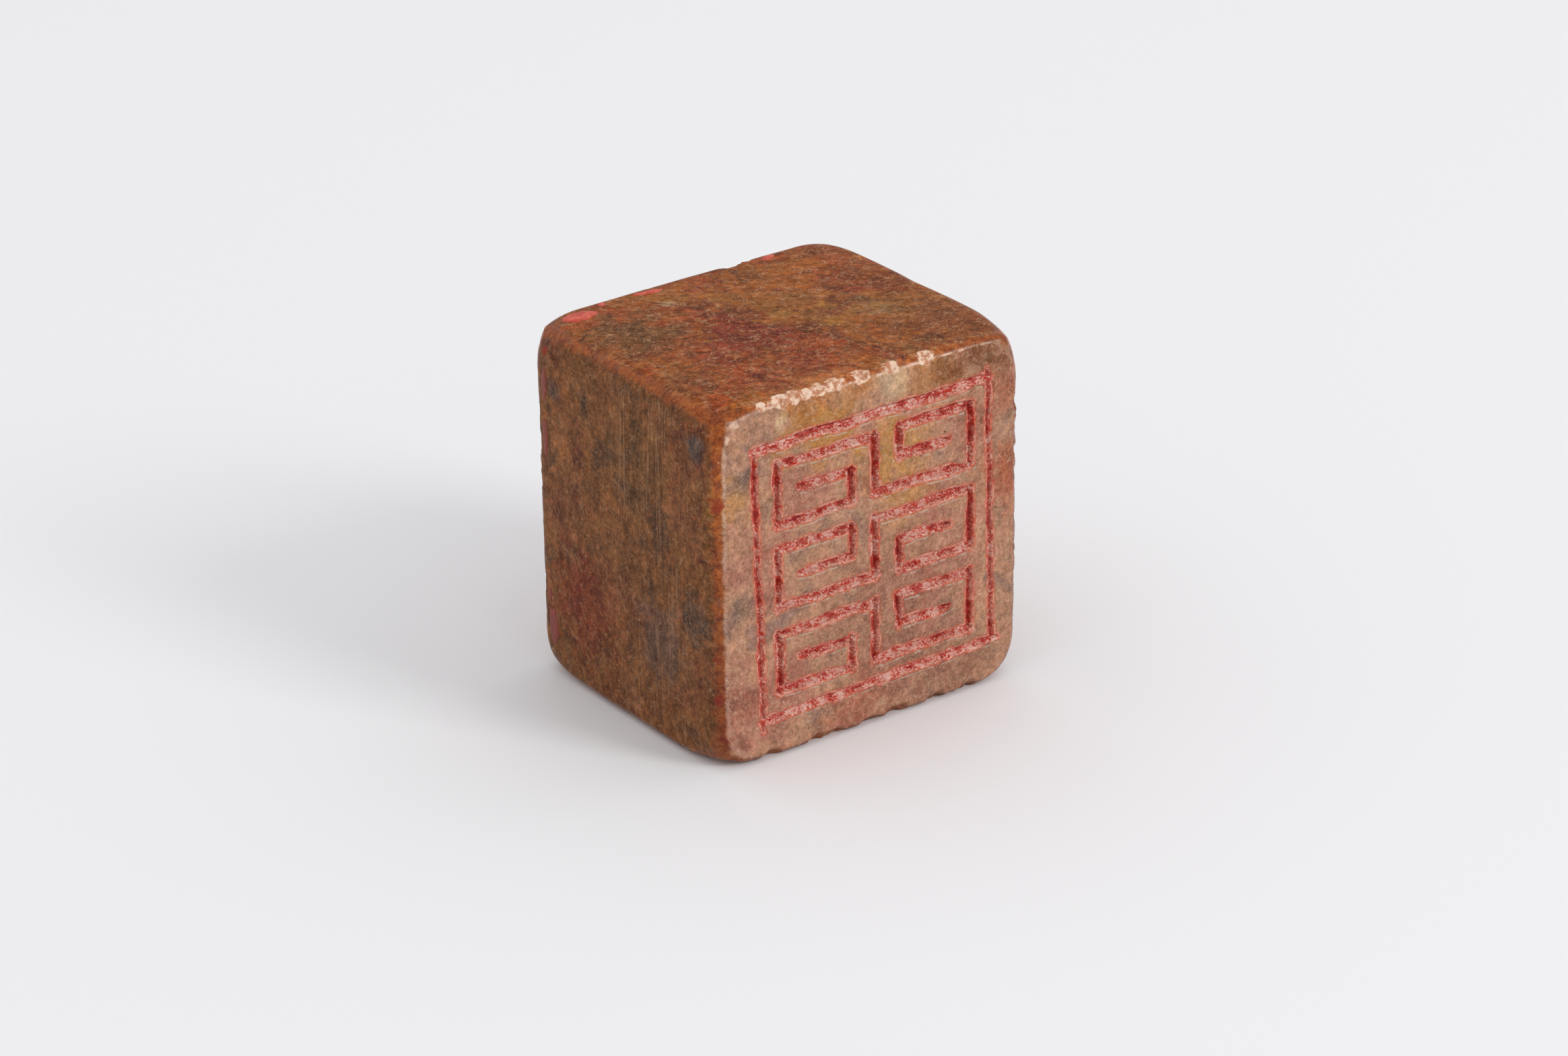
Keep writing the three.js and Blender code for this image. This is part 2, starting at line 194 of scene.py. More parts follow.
def blank_gap(points):
    """Distance outside the ground blank, for points in mm."""
    x, y, z = points[:, 0], points[:, 1], points[:, 2] - height / 2
    sides = (RIGHT_CROWN, LEFT_CROWN)
    plan = outline_gap(x, y, half_width, half_depth, PLAN_RADII, sides, BACK_CROWN)
    front = outline_gap(x, z, half_width, height / 2, FRONT_RADII, sides, TOP_CROWN)
    side = outline_gap(y, z, half_depth, height / 2, SIDE_RADII, (BACK_CROWN, 0), TOP_CROWN)
    ground = np.maximum.reduce([plan, front, side])
    ball_radius = math.hypot(half_width, half_depth, height / 2) - CORNER_WEAR
    worn = np.sqrt(x * x + y * y + z * z) - ball_radius
    meet = np.maximum(CORNER_BLEND - np.abs(ground - worn), 0)
    return np.maximum(ground, worn) + meet ** 2 / (4 * CORNER_BLEND)


print("blank gap at the middle:", blank_gap(np.array([[0, 0, height / 2]])).round(2))

# %% [markdown]
# The skin starts as a net of lines on a plain box, closer where there is detail to show: the
# carved face and the chipped edges. Every knot of the net looks along its own ray, straight
# out of a flat side and fanned round an edge, and slides along it until it lies on the stone.

# %% Net of knots and rays
FINE_STEP, EDGE_STEP, PLAIN_STEP = 0.1, 0.2, 0.4
EDGE_ZONE, FRONT_EDGE = 3.4, 1.5
CARVED_LEFT, CARVED_RIGHT, CARVED_LOW = -12.7, 13.4, 2.6


def net_lines(spans):
    """Places of the lines, from spans of (start, stop, step)."""
    parts = [np.linspace(a, b, max(1, round((b - a) / step)) + 1)[:-1] for a, b, step in spans]
    return np.concatenate(parts + [[spans[-1][1]]])


lines_x = net_lines([
    (-half_width, CARVED_LEFT, EDGE_STEP),
    (CARVED_LEFT, CARVED_RIGHT, FINE_STEP),
    (CARVED_RIGHT, half_width, EDGE_STEP),
])
lines_y = net_lines([
    (-half_depth, -half_depth + FRONT_EDGE, FINE_STEP),
    (-half_depth + FRONT_EDGE, -half_depth + EDGE_ZONE, EDGE_STEP),
    (-half_depth + EDGE_ZONE, half_depth - EDGE_ZONE, PLAIN_STEP),
    (half_depth - EDGE_ZONE, half_depth, EDGE_STEP),
])
lines_z = net_lines([(0, CARVED_LOW, EDGE_STEP), (CARVED_LOW, height, FINE_STEP)])
all_lines = (lines_x, lines_y, lines_z)
box_low = np.array([-half_width, -half_depth, 0])
box_high = np.array([half_width, half_depth, height])


def box_net():
    """Knots on the six sides of the box, shared along the edges, and the quads between."""
    counts = np.array([len(lines) for lines in all_lines])
    quads = []
    for axis, at_end in itertools.product(range(3), (0, 1)):
        u, v = (axis + 1) % 3, (axis + 2) % 3
        grid_u, grid_v = np.meshgrid(np.arange(counts[u]), np.arange(counts[v]), indexing="ij")
        index = np.zeros((3,) + grid_u.shape, dtype=np.int64)
        index[axis] = (counts[axis] - 1) * at_end
        index[u], index[v] = grid_u, grid_v
        key = (index[0] * counts[1] + index[1]) * counts[2] + index[2]
        corners = [key[:-1, :-1], key[1:, :-1], key[1:, 1:], key[:-1, 1:]]
        if not at_end:
            corners.reverse()
        quads.append(np.stack([corner.ravel() for corner in corners], axis=1))
    keys, faces = np.unique(np.concatenate(quads), return_inverse=True)
    index = np.unravel_index(keys, tuple(counts))
    knots = np.stack([all_lines[axis][index[axis]] for axis in range(3)], axis=1)
    return knots, faces.reshape(-1, 4)


def rays_of(knots):
    """Start and direction of each knot's ray. The starts lie on a smaller box inside."""
    starts = np.clip(knots, box_low + EDGE_ZONE, box_high - EDGE_ZONE)
    toward = knots - starts
    return starts, toward / np.linalg.norm(toward, axis=1, keepdims=True)


knots, quads = box_net()
print("net:", len(knots), "knots,", len(quads), "quads")

# %% [markdown]
# Sliding the knots out to the stone. The distance to the blank grows steadily along a ray, so
# halving the interval fourteen times finds the surface. A slow waviness of a few hundredths
# of a millimetre is taken off, because nothing ground by hand is truly flat, and up to three
# times as much on the edges. The base stays flat, because the block stands on it.

# %% Slide to the blank
HALVINGS = 14
LONGEST_RAY = EDGE_ZONE * 1.8
WAVE_SIZE, WAVE_DEPTH = 7.0, 0.05
EDGE_WAVE_SIZE, EDGE_WAVE_DEPTH = 2.6, 0.14
EDGE_FULL, EDGE_END = 0.2, EDGE_ZONE * 0.7
STRAIGHT_DOWN = -0.99


def edge_share(knots):
    """1 on the box's edges, falling to 0 over the edge zone."""
    inset = np.sort(np.minimum(knots - box_low, box_high - knots), axis=1)[:, 1]
    return 1 - smooth_step(inset, EDGE_FULL, EDGE_END)


def slide_to_blank(starts, rays):
    """How far along its ray each knot meets the blank."""
    near, far = np.zeros(len(starts)), np.full(len(starts), LONGEST_RAY)
    for _ in range(HALVINGS):
        half = (near + far) / 2
        inside = blank_gap(starts + rays * half[:, None]) < 0
        near = np.where(inside, half, near)
        far = np.where(inside, far, half)
    return near


starts, rays = rays_of(knots)
reach = slide_to_blank(starts, rays)
skin = starts + rays * reach[:, None]
edge = edge_share(knots)
flat_wave = (1 + lumps(skin, WAVE_SIZE, 3)) / 2 * WAVE_DEPTH
edge_wave = (1 + lumps(skin, EDGE_WAVE_SIZE, 4)) / 2 * EDGE_WAVE_DEPTH * edge
is_base = rays[:, 2] < STRAIGHT_DOWN
reach -= np.where(is_base, 0, flat_wave + edge_wave)
print("edge knots:", int((edge > 0.5).sum()))

# %% [markdown]
# Chips. Soapstone is soft, so its sharp edges crumble in shallow scoops wherever the seal was
# knocked. Each scoop is an ellipsoid laid along the edge, sunk in along the edge's diagonal.
# A knot that lies inside one slides back to where its ray enters it. The larger chips lie
# where the solid model has them, and runs of fine nicks go on every edge beside them. In the
# table of edges each has a point on it, the way it runs, the way inwards and its radius.

# %% Edges and scoops
SCOOP_SHARE = math.sqrt(1 - (2 / 3) ** 2)
CHIP_SPREAD, CHIP_ROUGHNESS, ROUGHNESS_SIZE = 1.1, 0.14, 0.55
DRAWS_PER_SCOOP = 4
right_at = half_width - RIGHT_CROWN / 2
left_at = -half_width + LEFT_CROWN
back_at = half_depth - BACK_CROWN
top_at = height - TOP_CROWN
EDGES = {
    "carved_bottom": ((0, -half_depth, 0), (1, 0, 0), (0, 1, 1), 0.8),
    "carved_top": ((0, -half_depth, top_at), (1, 0, 0), (0, 1, -1), 0.9),
    "carved_right": ((right_at, -half_depth, 0), (0, 0, 1), (-1, 1, 0), 1.3),
    "carved_left": ((left_at, -half_depth, 0), (0, 0, 1), (1, 1, 0), 1.4),
    "back_left": ((left_at, back_at, 0), (0, 0, 1), (1, -1, 0), 1.9),
    "back_right": ((right_at, back_at, 0), (0, 0, 1), (-1, -1, 0), 2.8),
    "back_top": ((0, half_depth - BACK_CROWN / 4, height), (1, 0, 0), (0, -1, -1), 1.3),
    "back_bottom": ((0, back_at, 0), (1, 0, 0), (0, -1, 1), 1.0),
    "top_left": ((left_at, 0, top_at), (0, 1, 0), (1, 0, -1), 1.4),
    "bottom_left": ((left_at, 0, 0), (0, 1, 0), (1, 0, 1), 1.1),
    "top_right": ((right_at, 0, top_at), (0, 1, 0), (-1, 0, -1), 1.6),
    "bottom_right": ((right_at, 0, 0), (0, 1, 0), (-1, 0, 1), 2.4),
}


def scoop(edge_name, place, length, bite):
    """Centre, axes and half sizes of one chip on an edge."""
    at, run, inward, radius = EDGES[edge_name]
    run = np.array(run, float)
    inward = np.array(inward, float) / math.sqrt(2)
    half_across = min(0.7 * length, CHIP_SPREAD + radius) / SCOOP_SHARE
    centre = np.array(at) + run * place + inward * (radius * (math.sqrt(2) - 1) - 2 * bite)
    axes = np.stack([inward, run, np.cross(inward, run)])
    return centre, axes, np.array([3 * bite, length / 2 / SCOOP_SHARE, half_across])


def scoop_run(edge_name, begin, end, count, longest, deepest, seed):
    """Scoops spread unevenly between two places on an edge. Each has four draws, one unused."""
    hand = hand_of(seed)
    step = (end - begin) / count
    scoops = []
    for i in range(count):
        shift, stretch, sink, _ = (hand() for _ in range(DRAWS_PER_SCOOP))
        place = begin + step * (i + 0.2 + 0.6 * shift)
        scoops.append(scoop(edge_name, place, longest * (0.6 + 0.4 * stretch), deepest * (0.5 + 0.5 * sink)))
    return scoops


def all_runs(runs):
    """The scoops of several runs."""
    return [one for run in runs for one in scoop_run(*run)]


FRESH_CHIPS = {
    -10.8: 0.8, -9.95: 0.5, -8.95: 1.25, -7.6: 1.15, -6.5: 1.0,
    -5.05: 1.25, -3.45: 1.2, -0.85: 1.2, 2.2: 1.0, 5.6: 1.2,
}
FRESH_BITE, FRESH_BITE_GROWTH = 0.1, 0.17
CHIP_RUNS = [
    ("carved_bottom", -12, 11.5, 11, 3.0, 0.32, 11),
    ("carved_right", 14.5, 28, 6, 3.2, 0.36, 37),
    ("back_left", 3.5, 25.5, 9, 3.0, 0.3, 41),
    ("back_top", -1.5, 3, 3, 2.0, 0.22, 59),
]
SINGLE_CHIPS = [
    ("back_left", 21, 3.0, 0.5), ("back_left", 17.6, 2.4, 0.45),
    ("back_top", -3.4, 3.6, 0.42), ("back_top", 4.4, 3.2, 1.05), ("back_top", 6.3, 2.4, 0.8),
]
NICK_RUNS = [
    ("carved_top", -11, 11, 24, 0.6, 0.05, 61),
    ("carved_bottom", -14, 14, 9, 3.2, 0.6, 62),
    ("carved_bottom", -14, 14, 30, 0.9, 0.14, 60),
    ("carved_right", 2, 30, 13, 2.1, 0.46, 63),
    ("carved_right", 1.5, 30, 26, 1.2, 0.36, 58),
    ("carved_left", 3, 29, 12, 0.9, 0.08, 64),
    ("back_left", 1, 31, 19, 1.7, 0.6, 65),
    ("back_top", -13, 13, 22, 1.2, 0.26, 66),
    ("back_top", -5, 8, 8, 1.5, 0.75, 73),
    ("back_right", 2, 30, 14, 1.2, 0.1, 67),
    ("back_bottom", -13, 13, 20, 1.1, 0.12, 68),
    ("top_left", -11, 11, 22, 0.8, 0.08, 69),
    ("top_right", -11, 11, 14, 0.9, 0.08, 70),
    ("bottom_left", -11, 11, 16, 1.0, 0.1, 71),
    ("bottom_right", -11, 11, 14, 1.0, 0.1, 72),
]
fresh_chips = [
    scoop("carved_top", place, length, FRESH_BITE + FRESH_BITE_GROWTH * length)
    for place, length in FRESH_CHIPS.items()
]
chips = all_runs(CHIP_RUNS) + [scoop(*chip) for chip in SINGLE_CHIPS]
nicks = all_runs(NICK_RUNS)


def cut_scoops(starts, rays, reach, scoops):
    """Slides the knots that lie in a scoop back along their rays to its wall."""
    skin = starts + rays * reach[:, None]
    rough = np.stack([lumps(skin, ROUGHNESS_SIZE, seed) for seed in (5, 6, 7)], axis=1) * CHIP_ROUGHNESS
    for centre, axes, half_sizes in scoops:
        near = np.flatnonzero(np.abs(skin - centre).max(axis=1) < half_sizes.max() * 1.1)
        offset = (starts[near] + rough[near] - centre) @ axes.T / half_sizes
        along = rays[near] @ axes.T / half_sizes
        a = (along * along).sum(axis=1)
        b = (offset * along).sum(axis=1)
        c = (offset * offset).sum(axis=1) - 1
        inner = np.maximum(b * b - a * c, 0)
        entry, leave = (-b - np.sqrt(inner)) / a, (-b + np.sqrt(inner)) / a
        hit = (b * b > a * c) & (entry > 0) & (entry < reach[near]) & (leave > reach[near])
        reach[near[hit]] = entry[hit]
    return reach


before = reach.copy()
reach = cut_scoops(starts, rays, reach, chips + fresh_chips)
reach = cut_scoops(starts, rays, reach, nicks)
print("knots moved by chips:", int((reach < before).sum()), "deepest, mm:", (before - reach).max().round(2))

# %% [markdown]
# The cutting. The carver pushes a flat steel knife along each line twice, once for each wall,
# so both walls wander on their own and the corners overrun. The lines stand in the places
# that the solid model gives them: a frame of four strokes, and three rows of a squared hook.

# %% Lines of the cutting
FRAME_LEFT, FRAME_RIGHT, FRAME_TOP, FRAME_BOTTOM = 4.3, 3.7, 4.0, 4.0
FRAME_LEAN, FRAME_TOP_CLIMB, FRAME_BOTTOM_CLIMB = 0.55, 0.12, 0.4
OVERRUN = 0.8
FRAME_WIDTHS, FRAME_DEPTH = (0.86, 0.54, 0.78, 0.6), 0.45
FRET_WIDTH, FRET_DEPTH = 0.8, 0.6
FRET_ROWS, FRET_MARGIN, FRET_GAP, FRET_PITCH, FRET_WANDER = 3, 1.75, 2.3, 2.4, 0.16
FRET_SEED = 101

inner_left, inner_right = -half_width + FRAME_LEFT, half_width - FRAME_RIGHT
inner_top = height - FRAME_TOP
top_left = np.array([inner_left - FRAME_LEAN / 2, inner_top - FRAME_TOP_CLIMB / 2])
top_right = np.array([inner_right - FRAME_LEAN / 2, inner_top + FRAME_TOP_CLIMB / 2])
low_right = np.array([inner_right + FRAME_LEAN / 2, FRAME_BOTTOM + FRAME_BOTTOM_CLIMB / 2])
low_left = np.array([inner_left + FRAME_LEAN / 2, FRAME_BOTTOM - FRAME_BOTTOM_CLIMB / 2])


def past(a, b, distance):
    """The point that lies a distance beyond b on the line from a."""
    return b + (b - a) * distance / np.linalg.norm(b - a)


def fret_row(row):
    """Points of one row: an upright spine with a squared hook turned in at each end."""
    hand = hand_of(FRET_SEED + row)
    left, right = low_left[0] + FRET_MARGIN, top_right[0] - FRET_MARGIN
    low, high = low_right[1] + FRET_MARGIN, top_left[1] - FRET_MARGIN
    half_row = (right - left) / 2
    row_height = (high - low - FRET_GAP * (FRET_ROWS - 1)) / FRET_ROWS
    turn = -1 if row % 2 else 1
    hook = [
        (0, 1), (-half_row, 1), (-half_row, 0),
        (-FRET_PITCH, 0), (-FRET_PITCH, 0.5), (FRET_PITCH - half_row, 0.5),
    ]
    points = []
    for x, level in hook[::-1] + [(-x, 1 - level) for x, level in hook]:
        points.append(np.array([
            (left + right) / 2 + turn * x + FRET_WANDER * (hand() - 0.5),
            low + (row_height + FRET_GAP) * row + row_height * level + FRET_WANDER * (hand() - 0.5),
        ]))
    return list(zip(points[:-1], points[1:]))


frame_lines = [
    (top_left, top_right),
    (past(low_right, top_right, OVERRUN), low_right),
    (past(low_left, low_right, OVERRUN / 2), low_left),
    (past(top_left, low_left, OVERRUN), top_left),
]
fret_rows = [fret_row(row) for row in range(FRET_ROWS)]
print("strokes:", len(frame_lines), "in the frame,", [len(row) for row in fret_rows], "in the rows")

# %% [markdown]
# From lines to walls. For every knot on the carved face, each stroke tells how far the knot
# lies outside its mouth. Along the stroke the middle wanders, and each wall goes in and out
# by itself. The nearest stroke wins, so crossings join up as real cuts do.

# %% Distance from the cuts
WALL_WANDER, WANDER_SIZE = 0.11, 3.2
SLOW_WAVE, SLOW_SIZE, QUICK_WAVE, QUICK_SIZE = 0.24, 2.4, 0.12, 0.8
END_WIDTH, END_RUN, END_ROUND = 0.62, (-0.2, 0.8), 0.16
STROKE_REACH = 0.1
RIM_CRUMBLE, CRUMBLE_SIZES = 0.032, (0.5, 0.22)


def stroke_seed(number):
    """The seed of a stroke, from its place in the order of cutting."""
    return number * 7 + 20


def on_plane(x, z):
    """Points of the carved face's plane, for use with lumps."""
    return np.stack([x, np.zeros_like(x), z], axis=1)


def along_noise(along, size, seed):
    """Smooth random values along a stroke."""
    line = np.stack([along, np.full_like(along, seed * 3.7), np.zeros_like(along)], axis=1)
    return lumps(line, size, seed)


def stroke_gap(x, z, a, b, width, seed):
    """How far points lie outside the mouth of one stroke, in mm."""
    length = np.linalg.norm(b - a)
    direction = (b - a) / length
    along = (x - a[0]) * direction[0] + (z - a[1]) * direction[1]
    across = (z - a[1]) * direction[0] - (x - a[0]) * direction[1]
    across = across - WALL_WANDER * along_noise(along, WANDER_SIZE, seed)
    walls = [
        SLOW_WAVE * along_noise(along, SLOW_SIZE, s) + QUICK_WAVE * along_noise(along, QUICK_SIZE, s + 1)
        for s in (seed + 400, seed + 800)
    ]
    half = width / 2 * (1 + np.where(across > 0, walls[0], walls[1]))
    nearest_end = np.minimum(along + STROKE_REACH, length + STROKE_REACH - along)
    half = half * (END_WIDTH + (1 - END_WIDTH) * smooth_step(nearest_end, *END_RUN))
    beside = np.abs(across) - half
    beyond = -nearest_end - width * 0.42
    outside = np.hypot(np.maximum(beside + END_ROUND, 0), np.maximum(beyond + END_ROUND, 0))
    return np.minimum(np.maximum(beside, beyond) + END_ROUND, 0) + outside - END_ROUND


def cutting(x, z):
    """Distance outside the cuts, and the depth of the nearest stroke and how level it runs."""
    gap, depth, level = np.full(len(x), 99.0), np.zeros(len(x)), np.zeros(len(x))
    strokes = [(line, width, FRAME_DEPTH) for line, width in zip(frame_lines, FRAME_WIDTHS)]
    strokes += [(line, FRET_WIDTH, FRET_DEPTH) for row in fret_rows for line in row]
    for number, ((a, b), width, stroke_depth) in enumerate(strokes):
        low, high = np.minimum(a, b) - 2, np.maximum(a, b) + 2
        near = np.flatnonzero((x > low[0]) & (x < high[0]) & (z > low[1]) & (z < high[1]))
        new = stroke_gap(x[near], z[near], a, b, width, stroke_seed(number))
        closer = new < gap[near]
        gap[near[closer]] = new[closer]
        depth[near[closer]] = stroke_depth
        level[near[closer]] = abs(b[0] - a[0]) > abs(b[1] - a[1])
    coarse, fine = (lumps(on_plane(x, z), size, seed) for size, seed in zip(CRUMBLE_SIZES, (31, 32)))
    crumble = RIM_CRUMBLE * coarse + RIM_CRUMBLE * 0.4 * fine
    return gap + crumble * (gap < 3), depth, level


print("one cut's mouth, mm:", cutting(np.array([0.0]), np.array([height - FRAME_TOP]))[0].round(2))

# %% [markdown]
# The profile across a cut: a rim that has crumbled a little, a slanting wall and a narrow
# floor that the knife left lumpy. Shallow flakes have broken off the rims here and there, and
# one light scratch runs below the frame, where the knife marked the line before cutting it.

# %% Cut the face
WALL_WIDTH = 0.33
FLOOR_LUMPS = 0.11
RIM_DROP = 0.03
FLAKE_DEPTH = 0.085
SCRATCH_DROP, SCRATCH_WIDTH, SCRATCH_DEPTH, SCRATCH_SEED = 0.78, 0.16, 0.07, 977
GRAIN_DROP, PIT_DROP = 0.012, 0.02
FACING_FRONT = -0.93


def cut_depth(x, z):
    """How deep the carved face lies under its flat at each point, in mm."""
    flat = on_plane(x, z)
    gap, depth, _ = cutting(x, z)
    floor = depth * (1 + FLOOR_LUMPS * lumps(flat, 0.8, 41) + FLOOR_LUMPS * lumps(flat, 0.3, 42))
    deep = floor * smooth_step(-gap, -0.02, WALL_WIDTH)
    rim = RIM_DROP * smooth_step(-gap, -0.16, 0.02)
    flake_place = smooth_step(lumps(flat, 0.95, 43) + 0.35 * lumps(flat, 0.3, 44), 0.3, 0.55)
    flake = FLAKE_DEPTH * flake_place * smooth_step(-gap, -0.36, -0.2)
    drop = np.array([0, -SCRATCH_DROP])
    scratch_gap = stroke_gap(x, z, low_left + drop, low_right + drop, SCRATCH_WIDTH, SCRATCH_SEED)
    scratch = SCRATCH_DEPTH * smooth_step(-scratch_gap, -0.06, 0.06)
    pits = PIT_DROP * smooth_step(lumps(flat, 0.5, 46), 0.35, 0.8)
    grain = GRAIN_DROP * (1 + lumps(flat, 0.22, 45)) + pits
    return np.maximum.reduce([deep, rim, flake, scratch]) + grain


skin = starts + rays * reach[:, None]
on_face = np.flatnonzero(rays[:, 1] < FACING_FRONT)
reach[on_face] -= cut_depth(skin[on_face, 0], skin[on_face, 2]) / -rays[on_face, 1]
skin = starts + rays * reach[:, None]
print("knots on the carved face:", len(on_face))

# %% [markdown]
# The knots become one closed mesh. It is finer than it has to be on the flats, so a Decimate
# modifier takes triangles away there. A vertex group keeps it off the cuts and their rims.

# %% Stone mesh
STONE_TRIANGLES = 192000
KEPT_ROUND_CUTS = 0.4


def make_object(name, points, faces, edges=()):
    """An object at the origin whose mesh is given in mm."""
    mesh = bpy.data.meshes.new(name)
    mesh.from_pydata((np.asarray(points) * MM).tolist(), list(edges), np.asarray(faces).tolist())
    return place_object(name, mesh)


def smooth(mesh):
    """Shades a mesh as one smooth surface."""
    mesh.polygons.foreach_set("use_smooth", [True] * len(mesh.polygons))


def settle(piece):
    """Turns a piece and its live modifiers into one plain mesh, with smooth shading."""
    graph = bpy.context.evaluated_depsgraph_get()
    result = bpy.data.meshes.new_from_object(piece.evaluated_get(graph))
    piece.modifiers.clear()
    piece.data = result
    result.name = piece.name
    smooth(result)


def mesh_points(piece):
    """The mesh's points in mm."""
    flat = np.zeros(len(piece.data.vertices) * 3)
    piece.data.vertices.foreach_get("co", flat)
    return flat.reshape(-1, 3) / MM


stone = make_object("carved_stone", skin, quads)
away_from_cuts = np.ones(len(skin), bool)
away_from_cuts[on_face] = cutting(skin[on_face, 0], skin[on_face, 2])[0] > KEPT_ROUND_CUTS
stone.vertex_groups.new(name="may_thin").add(np.flatnonzero(away_from_cuts).tolist(), 1.0, "REPLACE")
thin = stone.modifiers.new("thin", "DECIMATE")
thin.vertex_group = "may_thin"
thin.ratio = STONE_TRIANGLES / (2 * len(quads))
settle(stone)
print("stone:", len(stone.data.polygons), "faces")

# %% [markdown]
# The stone's finish needs to know how each point was shaped, so some numbers are worked out
# for every point of the finished mesh and kept on it as attributes: how far it lies from the
# mouth of a cut, whether that cut runs level, whether it lies just under a level cut, where a
# pale line is painted as the highlight of the knife's burr, whether a chip or a fresh chip
# opened it, and which way the ground blank faces.

# %% Marks kept on the stone
FACE_DEPTH = 1.1
FAR_FROM_CUTS = 2.0
BURR_HIGHLIGHT_BELOW, BURR_HIGHLIGHT_CLOSER = 0.05, 0.02
SLOPE_STEP = 0.05
CHIP_GROWN, CHIP_FADE = 1.03, 0.02
FRESH_GROWN, FRESH_FADE = 1.05, 0.3


def keep_marks(piece, marks):
    """Writes named numbers, or vectors, one for each point, onto the mesh."""
    for name, values in marks.items():
        kind, field = ("FLOAT_VECTOR", "vector") if values.ndim == 2 else ("FLOAT", "value")
        attribute = piece.data.attributes.new(name, kind, "POINT")
        attribute.data.foreach_set(field, values.astype(np.float32).ravel())


def cut_marks(points):
    """Marks of where points lie against the cuts."""
    on_face = points[:, 1] < -half_depth + FACE_DEPTH
    x, z = points[on_face, 0], points[on_face, 2]
    gap, level, below = np.full(len(points), FAR_FROM_CUTS), np.zeros(len(points)), np.zeros(len(points))
    gap[on_face], _, level[on_face] = cutting(x, z)
    # Places just under a level cut, where the burr's painted highlight goes.
    below[on_face] = cutting(x, z + BURR_HIGHLIGHT_BELOW)[0] < gap[on_face] - BURR_HIGHLIGHT_CLOSER
    return {"cut_gap": np.minimum(gap, FAR_FROM_CUTS), "cut_level": level, "under_cut": below * level}


def blank_normal(points):
    """The direction that the ground blank faces near each point."""
    steps = np.eye(3) * SLOPE_STEP
    slopes = np.stack([blank_gap(points + step) - blank_gap(points - step) for step in steps], axis=1)
    return slopes / np.maximum(np.linalg.norm(slopes, axis=1, keepdims=True), 1e-9)


def in_scoops(points, scoops, grown, fade):
    """1 for points on the wall of a scoop, falling to 0 over a border round it."""
    found = np.zeros(len(points))
    for centre, axes, half_sizes in scoops:
        away = np.linalg.norm((points - centre) @ axes.T / half_sizes, axis=1)
        found = np.maximum(found, smooth_step(-away, -grown - fade, -grown))
    return found


stone_points = mesh_points(stone)
marks = cut_marks(stone_points)
marks["chip"] = in_scoops(stone_points, chips + nicks, CHIP_GROWN, CHIP_FADE)
marks["fresh"] = in_scoops(stone_points, fresh_chips, FRESH_GROWN, FRESH_FADE)
marks["ground_normal"] = blank_normal(stone_points)
keep_marks(stone, marks)
print({name: int((values > 0.5).sum()) for name, values in marks.items() if values.ndim == 1})

# %% [markdown]
# Seal paste in the cuts. When a seal has been pressed on its paste pad for years, the oil
# dries and the red settles on the floor of every cut as a lumpy cord. A path with an uneven
# cord along it is work for Geometry Nodes: each stroke becomes a curve, a flattened tube runs
# along it, and the tubes of one row are fused through a fine volume, as soft paste fuses.

# %% Node helper and paths of the cords
MATH, RANGE, MIX, BUMP = "ShaderNodeMath", "ShaderNodeMapRange", "ShaderNodeMixRGB", "ShaderNodeBump"
APART, VECTOR, MARK = "ShaderNodeSeparateXYZ", "ShaderNodeVectorMath", "ShaderNodeAttribute"
PLUS, MINUS, TIMES, OVER, TIMES_PLUS, LARGER, SIZE, LESS = (
    (MATH, {"operation": word}) for word in (
        "ADD", "SUBTRACT", "MULTIPLY", "DIVIDE", "MULTIPLY_ADD", "MAXIMUM", "ABSOLUTE", "LESS_THAN",
    )
)
SOFT_RANGE = (RANGE, {"interpolation_type": "SMOOTHSTEP"})
APART_BY, SCALED, MOVED_BY = ((VECTOR, {"operation": word}) for word in ("DISTANCE", "SCALE", "MULTIPLY_ADD"))


def linear(hex_colour):
    """An sRGB hex colour as linear red, green, blue and alpha."""
    parts = [(hex_colour >> shift & 255) / 255 for shift in (16, 8, 0)]
    return tuple(c / 12.92 if c <= 0.04045 else ((c + 0.055) / 1.055) ** 2.4 for c in parts) + (1.0,)


def add_node(tree, kind, *values, **settings):
    """Adds a node and returns its outputs.

    The kind is a node type, or a pair of a node type and its settings. The values go to its
    sockets in order, or one dict gives them by name or number. A value is plain, a hex
    colour, an output, or a node's outputs, of which the first is meant.
    """
    node_type, fixed = kind if isinstance(kind, tuple) else (kind, {})
    new = tree.nodes.new(node_type)
    for name, setting in {**fixed, **settings}.items():
        setattr(new, name, setting)
    by_socket = values[0] if values and isinstance(values[0], dict) else dict(enumerate(values))
    for key, value in by_socket.items():
        for source in value if isinstance(value, list) else [value]:
            if isinstance(source, bpy.types.bpy_prop_collection):
                source = source[0]
            if isinstance(source, bpy.types.NodeSocket):
                tree.links.new(source, new.inputs[key])
            elif new.inputs[key].type == "RGBA" and isinstance(source, int):
                new.inputs[key].default_value = linear(source)
            else:
                new.inputs[key].default_value = source
    return new.outputs


def stroke_path(a, b, seed, step=0.25):
    """Points in x and z along the wandering middle of a stroke."""
    length = np.linalg.norm(b - a)
    along = np.linspace(0, length, max(2, round(length / step)))
    direction = (b - a) / length
    side = np.array([-direction[1], direction[0]])
    wander = WALL_WANDER * along_noise(along, WANDER_SIZE, seed)
    return a + along[:, None] * direction + wander[:, None] * side


def path_object(name, lines, first_number, floor_depth):
    """A mesh of bare edges, one chain for each stroke, on the floor of the cuts."""
    points, edges = [], []
    for number, (a, b) in enumerate(lines, start=first_number):
        chain = stroke_path(a, b, stroke_seed(number))
        edges += [(len(points) + k, len(points) + k + 1) for k in range(len(chain) - 1)]
        points += [(x, -half_depth + floor_depth, z) for x, z in chain]
    return make_object(name, points, [], edges)


print("white paper in linear light:", [round(c, 3) for c in linear(0xF5F5F6)])

